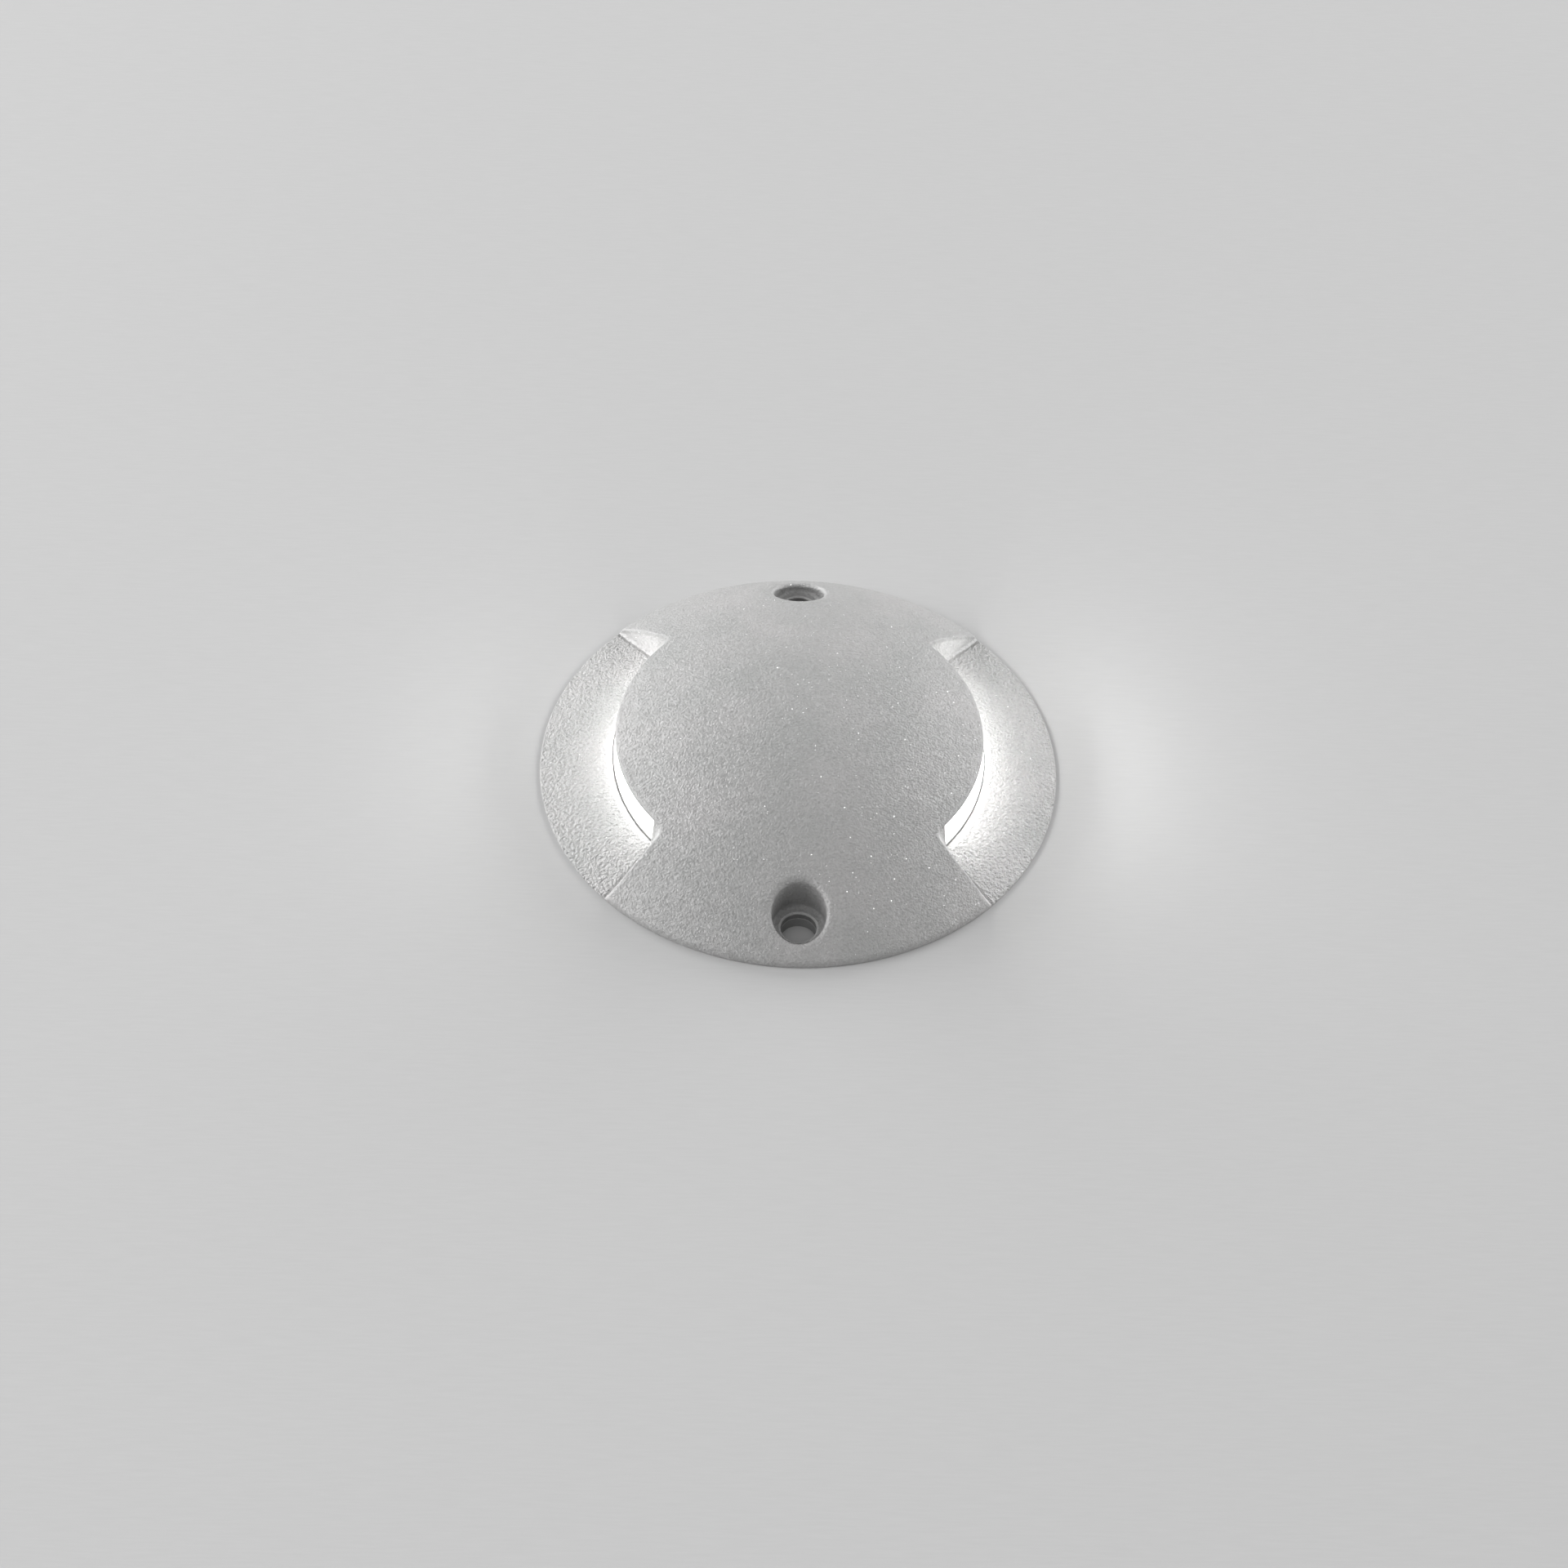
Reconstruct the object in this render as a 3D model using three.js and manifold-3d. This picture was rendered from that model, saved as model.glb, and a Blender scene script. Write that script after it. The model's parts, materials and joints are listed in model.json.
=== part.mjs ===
// Ground marker light: a low die-cast dome that is screwed down through two counterbored holes
// and throws light sideways through two frosted windows, each in its own cut-away sector.
// Millimetres, +Z up. The origin is the centre of the flat underside. The windows face +X and -X.
import * as THREE from "three";
import { mergeVertices } from "three/addons/utils/BufferGeometryUtils.js";
import Module from "manifold-3d";

const wasm = await Module();
wasm.setup();

// Units and fineness
const degree = Math.PI / 180;
const weldDistance = 1e-4;
const cutOverrun = 1;
const domeSegments = 80;
const domeRings = 7;
const hollowRings = 4;
const roundSteps = 3;
const arcSegments = 16;
const coreSegments = 8;
const holeSegments = 20;
const smallSegments = 10;
const smallRadius = 2.5;
const cornerSegments = 3;
const hexagonSegments = 6;

// Clearances
const seatGap = 0.2;
const slideGap = 0.25;
const screwGap = 0.25;

// Cover casting
const rimHeight = 1.2;
const rimRound = 1.6;
const footChamfer = 0.25;
const shellWall = 2.4;
const cavityRadius = 33.2;

// Light pockets, one on each side
const pocketHalfAngle = 44.4 * degree;
const windowWall = 2.05;
const windowWallDraft = 0.75;
const pocketDepth = 14;
const pocketCornerRadius = 1.8;
const floorHeight = 3.3;
const floorRimHeight = 0.75;
const pocketSideLean = 0.3;
const lipThickness = 0.8;
const lipStep = 0.7;

// Fixing holes, front and back
const fixingWall = 3.1;
const counterboreRadius = 5.2;
const counterboreDraft = 0.2;
const fixingHoleRadius = 3.3;
const fixingHoleChamfer = 0.25;
const fixingLedge = 1.5;

// Cored undersides of the two bridges
const coreWall = 2.2;
const coreRimWidth = 3.8;

// Base plate and its seal
const plateInset = 0.25;
const plateFlangeThickness = 1;
const plateThickness = 2.75;
const sealWidth = 1.8;
const sealThickness = 0.5;

// Base screws and the bosses that hold them
const baseScrewEdge = 1;
const baseScrewAngle = 65 * degree;
const baseScrewRadius = 1.5;
const baseScrewHeadRadius = 2.8;
const baseScrewHeadHeight = 1.5;
const baseScrewLength = 7.4;
const baseScrewSocket = 1;
const baseScrewSocketDepth = 1;
const bossRadius = 3.2;
const bossRibWidth = 2.4;

// Diffusers and their gaskets
const diffuserInset = 0.25;
const diffuserFlange = 1.2;
const diffuserFlangeWidth = 1.5;
const gasketThickness = 0.6;

// LED carrier, boards and chips
const ledStandOff = 5.8;
const carrierWall = 2;
const carrierFloor = 1.2;
const carrierHeadroom = 0.35;
const carrierCornerRadius = 2;
const leadNotchWidth = 4;
const ledBoardThickness = 1;
const ledBoardShort = 0.4;
const ledBoardLength = 28;
const ledLength = 3.5;
const ledWidth = 2.8;
const ledThickness = 0.8;
const ledCorner = 0.5;
const ledWindowRadius = 1.1;
const ledWindowDepth = 0.15;
const ledCount = 6;
const ledPitch = 4.5;

// Carrier screws
const socketShare = 0.8;
const carrierScrewRadius = 1.25;
const carrierScrewHeadRadius = 2.3;
const carrierScrewHeadHeight = 1.4;
const carrierScrewBite = 1.7;

// Driver board, its spacers and screws
const boardEndGap = 0.6;
const boardSideGap = 0.4;
const boardThickness = 1.2;
const boardCornerRadius = 2;
const boardHoleGap = 1;
const boardScrewEndInset = 3.4;
const boardScrewSideInset = 2.8;
const boardScrewRadius = 1;
const boardScrewHeadRadius = 1.9;
const boardScrewHeadHeight = 1.2;
const spacerRadius = 2;
const spacerHeight = 2;

// Parts on the driver board
const crownHeadroom = 2.2;
const terminalWidth = 5.8;
const terminalHeight = 4.4;
const terminalStepShare = 0.34;
const terminalPitch = 5;
const terminalEnd = 0.2;
const terminalWellRadius = 1.5;
const terminalWellShare = 0.5;
const terminalWireRadius = 1;
const partGap = 0.5;
const terminalScrewRadius = 1.2;
const terminalScrewHeight = 1.2;
const terminalScrewSlot = 0.4;
const inductorRadius = 3.2;
const inductorWaist = 2.3;
const inductorHeight = 3.8;
const inductorFlange = 0.8;
const capacitorRadius = 3.1;
const capacitorHeight = 4.3;
const capacitorCrimp = 0.35;
const capacitorBase = 0.8;
const chipLength = 4.9;
const chipWidth = 3.9;
const chipHeight = 1.5;
const chipBevel = 0.3;
const rectifierLength = 4.7;
const rectifierWidth = 3.9;
const rectifierHeight = 2.4;
const leadWidth = 2;
const leadThickness = 0.9;
const leadCorner = 0.3;
const leadOverlap = 3.9;
const leadBow = 0.4;
const leadSteps = 4;
const leadCornerSegments = 1;

// Cable gland
const glandFlangeRadius = 7.6;
const glandFlangeThickness = 1;
const glandShankRadius = 6;
const glandHeight = 6.9;
const glandBoreRadius = 3.6;
const glandSealRadius = 4.6;
const glandSealBoreRadius = 3.2;
const glandSealHeight = 3.4;
const glandSealChamfer = 0.4;
const glandNutWall = 1.2;
const glandNutHeight = 2.2;
const glandThreadGap = 0.3;

// Heights from the ground up to the crown
const plateBottom = plateInset;
const plateFlangeTop = plateBottom + plateFlangeThickness;
const plateTop = plateBottom + plateThickness;
const carrierBottom = plateTop + seatGap;
const carrierFloorTop = carrierBottom + carrierFloor;
const spacerBottom = carrierFloorTop + seatGap;
const boardBottom = spacerBottom + spacerHeight + seatGap;
const boardTop = boardBottom + boardThickness;
const partSeat = boardTop + seatGap;
const crownHeight = partSeat + terminalHeight + crownHeadroom + shellWall;

// Radii from the hollow's wall out to the rim
const pocketTopRadius = cavityRadius + windowWall;
const pocketFootRadius = pocketTopRadius + windowWallDraft;
const rimRadius = pocketFootRadius + pocketDepth;

// The dome is the sphere about the axis that passes through the crown and the rim
const domeRise = crownHeight - rimHeight;
const domeRadius = (rimRadius ** 2 + domeRise ** 2) / (2 * domeRise);
const domeCentre = crownHeight - domeRadius;
const domeZ = (r) => domeCentre + Math.sqrt(domeRadius ** 2 - r ** 2);
const innerDomeRadius = domeRadius - shellWall;
const windowWallLean = windowWallDraft / (domeZ(pocketTopRadius) - floorHeight);
const windowWallRadius = (z) => pocketFootRadius - windowWallLean * (z - floorHeight);
const fixingPitchRadius = cavityRadius + fixingWall + counterboreRadius;

// The windows and what fits in the hollow
const windowTop = domeZ(pocketTopRadius) - lipThickness;
const lipCeiling = windowTop + lipStep;
const lipCeilingRadius = Math.sqrt(innerDomeRadius ** 2 - (lipCeiling - domeCentre) ** 2);
const sealBottom = plateFlangeTop + seatGap;
const seatHeight = sealBottom + sealThickness + seatGap;
const sealInnerRadius = cavityRadius + seatGap;
const sealOuterRadius = sealInnerRadius + sealWidth;
const plateRadius = sealOuterRadius;
const recessRadius = plateRadius + slideGap;
const coreInnerRadius = recessRadius + coreWall;
const coreOuterRadius = rimRadius - coreRimWidth;
const gasketOuterRadius = cavityRadius - seatGap;
const gasketInnerRadius = gasketOuterRadius - gasketThickness;
const flangeOuterRadius = gasketInnerRadius - seatGap;
const flangeInnerRadius = flangeOuterRadius - diffuserFlange;
const spigotRadius = flangeInnerRadius - seatGap;
const baseScrewPitchRadius = spigotRadius - baseScrewEdge - baseScrewHeadRadius;

// Each side wall of a pocket is a plane that leans outwards from a straight line close to the dome
const pocketTopZ = domeZ(pocketTopRadius);
const sideTopSlope = (pocketTopZ - rimHeight) / (rimRadius - pocketTopRadius);
const sideTurn = Math.atan(pocketSideLean * sideTopSlope);
const sideAngle = pocketHalfAngle + sideTurn;
const sideOffset = (z) =>
  -pocketTopRadius * Math.sin(sideTurn) - pocketSideLean * (pocketTopZ - z) * Math.cos(sideTurn);
const cornerCentreRadius = (z) => windowWallRadius(z) + pocketCornerRadius;
const cornerAngle = (z) =>
  sideAngle + Math.asin((sideOffset(z) - pocketCornerRadius) / cornerCentreRadius(z));
const windowHalfAngle = cornerAngle(floorHeight);
const floorSlope = (floorHeight - floorRimHeight) / (rimRadius - rimRound - pocketFootRadius);
const floorZ = (r) => floorHeight - floorSlope * (r - pocketFootRadius);
const carrierTop = lipCeiling - carrierHeadroom;
const carrierHalfLength =
  flangeInnerRadius - ledStandOff - ledThickness - 2 * seatGap - ledBoardThickness;
const carrierHalfWidth = ledBoardLength / 2;
const ledBoardHeight = carrierTop - ledBoardShort - carrierBottom;
const boardHalfLength = carrierHalfLength - carrierWall - boardEndGap;
const boardHalfWidth = carrierHalfWidth - boardSideGap;
const boardHoleRadius = glandShankRadius + boardHoleGap;
const glandNutHalfFlats = glandShankRadius + glandThreadGap + glandNutWall;
const boardScrewX = boardHalfLength - boardScrewEndInset;
const boardScrewY = boardHalfWidth - boardScrewSideInset;
const carrierScrewPitch = boardScrewX;
const terminalY = (boardHoleRadius + boardHalfWidth) / 2;
const inductorY = -terminalY;
const capacitorWidth = 2 * capacitorRadius + capacitorCrimp;
const besideLead = (length, width) => [
  boardHoleRadius + partGap + length / 2,
  leadWidth / 2 + partGap + width / 2,
];
const [capacitorX, capacitorY] = besideLead(capacitorWidth, capacitorWidth);
const [chipX, chipY] = besideLead(chipLength, chipWidth);
const [rectifierX, rectifierY] = besideLead(rectifierLength, rectifierWidth);
const terminalLength = 2 * (terminalPitch + terminalEnd);
const terminalStep = terminalStepShare * terminalHeight;
const terminalWellDepth = terminalWellShare * terminalHeight;

// Geometry helpers

// A closed mesh as a solid: vertices welded, collapsed faces dropped, faces turned outwards.
function solidOf(geometry) {
  const bare = geometry.index ? geometry.toNonIndexed() : geometry.clone();
  bare.deleteAttribute("normal");
  bare.deleteAttribute("uv");
  const welded = mergeVertices(bare, weldDistance);
  const corners = welded.index.array;
  const vertProperties = welded.attributes.position.array;
  const triVerts = [];
  for (let i = 0; i < corners.length; i += 3) {
    const [a, b, c] = corners.subarray(i, i + 3);
    if (a !== b && b !== c && c !== a) triVerts.push(a, b, c);
  }
  if (signedVolume(vertProperties, triVerts) < 0) triVerts.reverse();
  const mesh = new wasm.Mesh({ numProp: 3, vertProperties, triVerts: new Uint32Array(triVerts) });
  return new wasm.Manifold(mesh);
}

function signedVolume(positions, triangles) {
  const corner = (i) => new THREE.Vector3().fromArray(positions, 3 * triangles[i]);
  let sum = 0;
  for (let i = 0; i < triangles.length; i += 3) {
    sum += corner(i).dot(corner(i + 1).cross(corner(i + 2)));
  }
  return sum;
}

// A solid back as a geometry that a mesh can show.
function geometryOf(solid) {
  const { vertProperties, triVerts } = solid.getMesh();
  const geometry = new THREE.BufferGeometry();
  geometry.setAttribute("position", new THREE.BufferAttribute(vertProperties, 3));
  geometry.setIndex(new THREE.BufferAttribute(triVerts, 1));
  geometry.computeVertexNormals();
  return geometry;
}

const union = (solids) => solids.reduce((all, solid) => all.add(solid));
const cut = (solid, tools) => tools.reduce((left, tool) => left.subtract(tool), solid);

// Turned about the Z axis from a profile of [radius, height] pairs.
function turned(profile, segments = holeSegments) {
  const points = profile.map(([r, z]) => new THREE.Vector2(r, z));
  return solidOf(new THREE.LatheGeometry(points, segments).rotateX(Math.PI / 2));
}

// The same for a ring, whose profile closes on itself.
const turnedRing = (profile, segments) => turned([...profile, profile[0]], segments);

// A flat outline raised from one height to another.
function raised(outline, bottom, top) {
  const options = { depth: top - bottom, bevelEnabled: false };
  const geometry = new THREE.ExtrudeGeometry(new THREE.Shape(outline), options);
  return solidOf(geometry.translate(0, 0, bottom));
}

// A round rod or hole tool, upright at x, y.
function rod(radius, bottom, top, x = 0, y = 0, segments = holeSegments) {
  const geometry = new THREE.CylinderGeometry(radius, radius, top - bottom, segments);
  geometry.rotateX(Math.PI / 2).translate(x, y, (bottom + top) / 2);
  return solidOf(geometry);
}

// The same outline with round holes through it, each given as [radius, x, y].
function pierced(outline, bottom, top, holes) {
  const tools = holes.map(([radius, x, y]) => {
    const segments = radius < smallRadius ? smallSegments : holeSegments;
    return rod(radius, bottom - cutOverrun, top + cutOverrun, x, y, segments);
  });
  return cut(raised(outline, bottom, top), tools);
}

// A cone frustum, upright at x, y.
function frustum(bottomRadius, topRadius, bottom, top, x = 0, y = 0, segments = holeSegments) {
  const geometry = new THREE.CylinderGeometry(topRadius, bottomRadius, top - bottom, segments);
  geometry.rotateX(Math.PI / 2).translate(x, y, (bottom + top) / 2);
  return solidOf(geometry);
}

// A block by its lowest and highest corners.
function block([x0, y0, z0], [x1, y1, z1]) {
  const geometry = new THREE.BoxGeometry(x1 - x0, y1 - y0, z1 - z0);
  return solidOf(geometry.translate((x0 + x1) / 2, (y0 + y1) / 2, (z0 + z1) / 2));
}

// Points along an arc, its two ends included.
function arc(x, y, radius, start, end, segments) {
  return Array.from({ length: segments + 1 }, (_, i) => {
    const angle = start + ((end - start) * i) / segments;
    return new THREE.Vector2(x + radius * Math.cos(angle), y + radius * Math.sin(angle));
  });
}

// A rectangle about the centre, with round corners.
function roundedRectangle(halfLength, halfWidth, corner, segments = cornerSegments) {
  const [x, y] = [halfLength - corner, halfWidth - corner];
  const quarter = Math.PI / 2;
  return [
    ...arc(x, y, corner, 0, quarter, segments),
    ...arc(-x, y, corner, quarter, 2 * quarter, segments),
    ...arc(-x, -y, corner, 2 * quarter, 3 * quarter, segments),
    ...arc(x, -y, corner, 3 * quarter, 4 * quarter, segments),
  ];
}

// A part of a flat ring about the +X direction.
const ringSector = (innerRadius, outerRadius, halfAngle, segments = arcSegments) => [
  ...arc(0, 0, outerRadius, -halfAngle, halfAngle, segments),
  ...arc(0, 0, innerRadius, halfAngle, -halfAngle, segments),
];

// A pocket's outline at one height, with its two inner corners rounded.
function pocketOutline(outerRadius, z) {
  const turn = cornerAngle(z);
  const outerTurn = sideAngle + Math.asin(sideOffset(z) / outerRadius);
  const [x, y] = [cornerCentreRadius(z) * Math.cos(turn), cornerCentreRadius(z) * Math.sin(turn)];
  const window = arc(0, 0, windowWallRadius(z), turn, -turn, arcSegments);
  const quarter = Math.PI / 2;
  return [
    ...arc(0, 0, outerRadius, -outerTurn, outerTurn, arcSegments),
    ...arc(x, y, pocketCornerRadius, sideAngle + quarter, turn + Math.PI, cornerSegments),
    ...window.slice(1, -1),
    ...arc(x, -y, pocketCornerRadius, -turn - Math.PI, -sideAngle - quarter, cornerSegments),
  ];
}

// A solid between two outlines with the same number of points, one above the other.
function lofted(low, bottom, high, top) {
  const count = low.length;
  const positions = [];
  low.forEach((p) => positions.push(p.x, p.y, bottom));
  high.forEach((p) => positions.push(p.x, p.y, top));
  const faces = THREE.ShapeUtils.triangulateShape(low, []);
  const index = faces.flatMap(([a, b, c]) => [c, b, a, a + count, b + count, c + count]);
  for (let i = 0; i < count; i += 1) {
    const j = (i + 1) % count;
    index.push(i, j, j + count, i, j + count, i + count);
  }
  const geometry = new THREE.BufferGeometry();
  geometry.setAttribute("position", new THREE.Float32BufferAttribute(positions, 3));
  geometry.setIndex(index);
  return solidOf(geometry);
}

const spunAboutZ = (solid, angle) => solid.rotate([0, 0, angle / degree]);
const bothSides = [0, Math.PI];

// Profiles of the dome

// The outside of the casting, from the axis at the foot round the rim to the crown.
function domeProfile() {
  const roundX = rimRadius - rimRound;
  const roundZ = domeCentre + Math.sqrt((domeRadius - rimRound) ** 2 - roundX ** 2);
  const meetAngle = Math.atan2(roundZ - domeCentre, roundX);
  const profile = [[0, 0], [rimRadius - footChamfer, 0], [rimRadius, footChamfer]];
  for (let i = 0; i <= roundSteps; i += 1) {
    const angle = (meetAngle * i) / roundSteps;
    profile.push([roundX + rimRound * Math.cos(angle), roundZ + rimRound * Math.sin(angle)]);
  }
  for (let i = 1; i <= domeRings; i += 1) {
    const angle = meetAngle + ((Math.PI / 2 - meetAngle) * i) / domeRings;
    const r = i === domeRings ? 0 : domeRadius * Math.cos(angle);
    profile.push([r, domeCentre + domeRadius * Math.sin(angle)]);
  }
  return profile;
}

// A spherical cap of the given radius about the dome's centre, flat below.
function capProfile(sphereRadius, edgeRadius, bottom) {
  const edgeAngle = Math.acos(edgeRadius / sphereRadius);
  const profile = [[0, bottom], [edgeRadius, bottom]];
  for (let i = 0; i <= hollowRings; i += 1) {
    const angle = edgeAngle + ((Math.PI / 2 - edgeAngle) * i) / hollowRings;
    const r = i === hollowRings ? 0 : sphereRadius * Math.cos(angle);
    profile.push([r, domeCentre + sphereRadius * Math.sin(angle)]);
  }
  return profile;
}

// The hollow that the base plate closes, with a shallow step for the plate's flange.
function hollowProfile() {
  const dome = capProfile(innerDomeRadius, lipCeilingRadius, lipCeiling).slice(2);
  return [
    [0, -cutOverrun],
    [recessRadius, -cutOverrun],
    [recessRadius, seatHeight],
    [cavityRadius, seatHeight],
    [cavityRadius, lipCeiling],
    ...dome,
  ];
}

// Where the four base screws stand
const baseScrewPlaces = [1, -1].flatMap((side) =>
  [baseScrewAngle, Math.PI - baseScrewAngle].map((angle) => [
    baseScrewPitchRadius * Math.cos(angle),
    side * baseScrewPitchRadius * Math.sin(angle),
  ]),
);

// Cover casting

function lightPocket() {
  const reach = rimRadius + cutOverrun;
  const beyond = reach + cutOverrun;
  const top = crownHeight + cutOverrun;
  const tool = lofted(pocketOutline(reach, 0), 0, pocketOutline(reach, top), top);
  const floor = turned(
    [[0, -cutOverrun], [beyond, -cutOverrun], [beyond, floorZ(beyond)], [0, floorZ(0)]],
    domeSegments,
  );
  return tool.subtract(floor);
}

const windowOpening = () =>
  raised(
    ringSector(flangeInnerRadius, pocketFootRadius + cutOverrun, windowHalfAngle),
    floorHeight,
    windowTop,
  );

// The screw's way down at one bridge: a drafted counterbore, a ledge and a hole with a chamfer.
function fixingHole(side) {
  const y = side * fixingPitchRadius;
  const top = crownHeight + cutOverrun;
  return union([
    frustum(counterboreRadius - counterboreDraft, counterboreRadius, fixingLedge, top, 0, y),
    rod(fixingHoleRadius, -cutOverrun, fixingLedge + cutOverrun, 0, y),
    frustum(
      fixingHoleRadius,
      fixingHoleRadius + fixingHoleChamfer,
      fixingLedge - fixingHoleChamfer,
      fixingLedge,
      0,
      y,
    ),
  ]);
}

// A pocket cored into the underside between a fixing hole and the next light pocket.
function underCore(side, hand) {
  const fromFixing = Math.asin((counterboreRadius + coreWall) / fixingPitchRadius);
  const fromPocket = Math.asin(coreWall / coreInnerRadius);
  const start = pocketHalfAngle + fromPocket;
  const end = Math.PI / 2 - fromFixing;
  const outline = ringSector(coreInnerRadius, coreOuterRadius, (end - start) / 2, coreSegments);
  const tool = raised(outline, -cutOverrun, crownHeight);
  const middle = (start + end) / 2;
  const angle = hand > 0 ? side * middle : side * (Math.PI - middle);
  const ceiling = capProfile(innerDomeRadius, coreOuterRadius + cutOverrun, -cutOverrun);
  return spunAboutZ(tool, angle).intersect(turned(ceiling, domeSegments));
}

// A boss for a base screw, ribbed to the wall and ending inside the dome's skin.
function screwBoss([x, y]) {
  const angle = Math.atan2(y, x);
  const bottom = plateTop + seatGap;
  const column = rod(bossRadius, bottom, crownHeight, x, y);
  const rib = block(
    [baseScrewPitchRadius, -bossRibWidth / 2, bottom],
    [cavityRadius + shellWall / 2, bossRibWidth / 2, crownHeight],
  );
  const skin = capProfile(domeRadius - shellWall / 2, cavityRadius + shellWall / 2, 0);
  return column.add(spunAboutZ(rib, angle)).intersect(turned(skin, domeSegments));
}

function screwBossHole([x, y]) {
  const bottom = plateTop;
  const top = plateBottom + seatGap + baseScrewLength + seatGap;
  return rod(baseScrewRadius + screwGap, bottom - cutOverrun, top, x, y, smallSegments);
}

function coverSolid() {
  const shell = cut(turned(domeProfile(), domeSegments), [turned(hollowProfile(), domeSegments)]);
  const bossed = union([shell, ...baseScrewPlaces.map(screwBoss)]);
  const pocket = lightPocket();
  const opening = windowOpening();
  return cut(bossed, [
    ...bothSides.map((angle) => spunAboutZ(pocket, angle)),
    ...bothSides.map((angle) => spunAboutZ(opening, angle)),
    fixingHole(1),
    fixingHole(-1),
    ...[1, -1].flatMap((side) => [underCore(side, 1), underCore(side, -1)]),
    ...baseScrewPlaces.map(screwBossHole),
  ]);
}

// Base plate, seal and screws

function basePlateSolid() {
  const plate = turned(
    [
      [0, plateBottom],
      [plateRadius, plateBottom],
      [plateRadius, plateFlangeTop],
      [spigotRadius, plateFlangeTop],
      [spigotRadius, plateTop],
      [0, plateTop],
    ],
    domeSegments,
  );
  const under = plateBottom - cutOverrun;
  const glandSeat = plateBottom + seatGap + glandFlangeThickness + seatGap;
  return cut(plate, [
    rod(glandShankRadius + glandThreadGap, under, plateTop + cutOverrun),
    rod(glandFlangeRadius + slideGap, under, glandSeat),
    ...baseScrewPlaces.flatMap(([x, y]) => [
      rod(baseScrewRadius + screwGap, under, plateTop + cutOverrun, x, y, smallSegments),
      rod(baseScrewHeadRadius + screwGap, under, plateBottom + seatGap, x, y, smallSegments),
      frustum(
        baseScrewHeadRadius + screwGap,
        baseScrewRadius + screwGap,
        plateBottom + seatGap,
        plateBottom + seatGap + baseScrewHeadHeight,
        x,
        y,
        smallSegments,
      ),
    ]),
    ...[1, -1].map((side) =>
      rod(
        carrierScrewRadius + screwGap,
        plateTop - carrierScrewBite - seatGap,
        plateTop + cutOverrun,
        side * carrierScrewPitch,
        0,
        smallSegments,
      ),
    ),
  ]);
}

const baseSealSolid = () =>
  turnedRing(
    [
      [sealInnerRadius, sealBottom],
      [sealOuterRadius, sealBottom],
      [sealOuterRadius, sealBottom + sealThickness],
      [sealInnerRadius, sealBottom + sealThickness],
    ],
    domeSegments,
  );

// A hexagon by half its width across flats.
const hexagonReach = (halfFlats) => halfFlats / Math.cos(Math.PI / hexagonSegments);
const hexagon = (halfFlats) =>
  arc(0, 0, hexagonReach(halfFlats), 0, 2 * Math.PI, hexagonSegments).slice(1);

// A countersunk screw, head down, from the underside of its head at zero.
function baseScrewSolid() {
  const screw = turned(
    [
      [0, 0],
      [baseScrewHeadRadius, 0],
      [baseScrewRadius, baseScrewHeadHeight],
      [baseScrewRadius, baseScrewLength],
      [0, baseScrewLength],
    ],
    smallSegments,
  );
  return screw.subtract(raised(hexagon(baseScrewSocket), -cutOverrun, baseScrewSocketDepth));
}

// A flat-headed screw standing upright, from the underside of its head at zero.
function panScrewSolid(radius, headRadius, headHeight, length, socket) {
  const screw = turned(
    [
      [0, -length],
      [radius, -length],
      [radius, 0],
      [headRadius, 0],
      [headRadius, headHeight / 2],
      [headRadius - headHeight / 2, headHeight],
      [0, headHeight],
    ],
    smallSegments,
  );
  return screw.subtract(raised(hexagon(socket), headHeight / 2, headHeight + cutOverrun));
}

// Diffuser and gasket of the +X window

const flangeHalfAngle = windowHalfAngle + diffuserFlangeWidth / cavityRadius;
const flangeBottom = plateFlangeTop + seatGap;
const flangeTop = lipCeiling - seatGap;

function diffuserSolid() {
  const half = windowHalfAngle - seatGap / flangeInnerRadius;
  const bottom = floorHeight + seatGap;
  const top = windowTop - seatGap;
  const bodyAt = (z) => ringSector(flangeInnerRadius, windowWallRadius(z) - diffuserInset, half);
  const body = lofted(bodyAt(bottom), bottom, bodyAt(top), top);
  const flange = raised(
    ringSector(flangeInnerRadius, flangeOuterRadius, flangeHalfAngle),
    flangeBottom,
    flangeTop,
  );
  return body.add(flange);
}

function diffuserGasketSolid() {
  const frame = raised(
    ringSector(gasketInnerRadius, gasketOuterRadius, flangeHalfAngle),
    flangeBottom,
    flangeTop,
  );
  const way = raised(
    ringSector(gasketInnerRadius - cutOverrun, gasketOuterRadius + cutOverrun, windowHalfAngle),
    floorHeight,
    windowTop,
  );
  return frame.subtract(way);
}

// LED carrier, boards and chips

const boardScrewPlaces = [1, -1].flatMap((sideX) =>
  [1, -1].map((sideY) => [sideX * boardScrewX, sideY * boardScrewY]),
);

function carrierSolid() {
  const outline = roundedRectangle(carrierHalfLength, carrierHalfWidth, carrierCornerRadius);
  const floor = pierced(outline, carrierBottom, carrierFloorTop, [
    [hexagonReach(glandNutHalfFlats) + slideGap, 0, 0],
    ...boardScrewPlaces.map(([x, y]) => [boardScrewRadius + screwGap, x, y]),
    ...[1, -1].map((side) => [carrierScrewRadius + screwGap, side * carrierScrewPitch, 0]),
  ]);
  const walls = [1, -1].map((side) => {
    const [near, far] = [carrierHalfLength - carrierWall, carrierHalfLength].map((x) => side * x);
    return block(
      [Math.min(near, far), -carrierHalfWidth, carrierBottom],
      [Math.max(near, far), carrierHalfWidth, carrierTop],
    );
  });
  const notch = block(
    [-carrierHalfLength - cutOverrun, -leadNotchWidth / 2, partSeat - slideGap],
    [carrierHalfLength + cutOverrun, leadNotchWidth / 2, partSeat + crownHeight],
  );
  return union([floor, ...walls]).subtract(notch);
}

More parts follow.
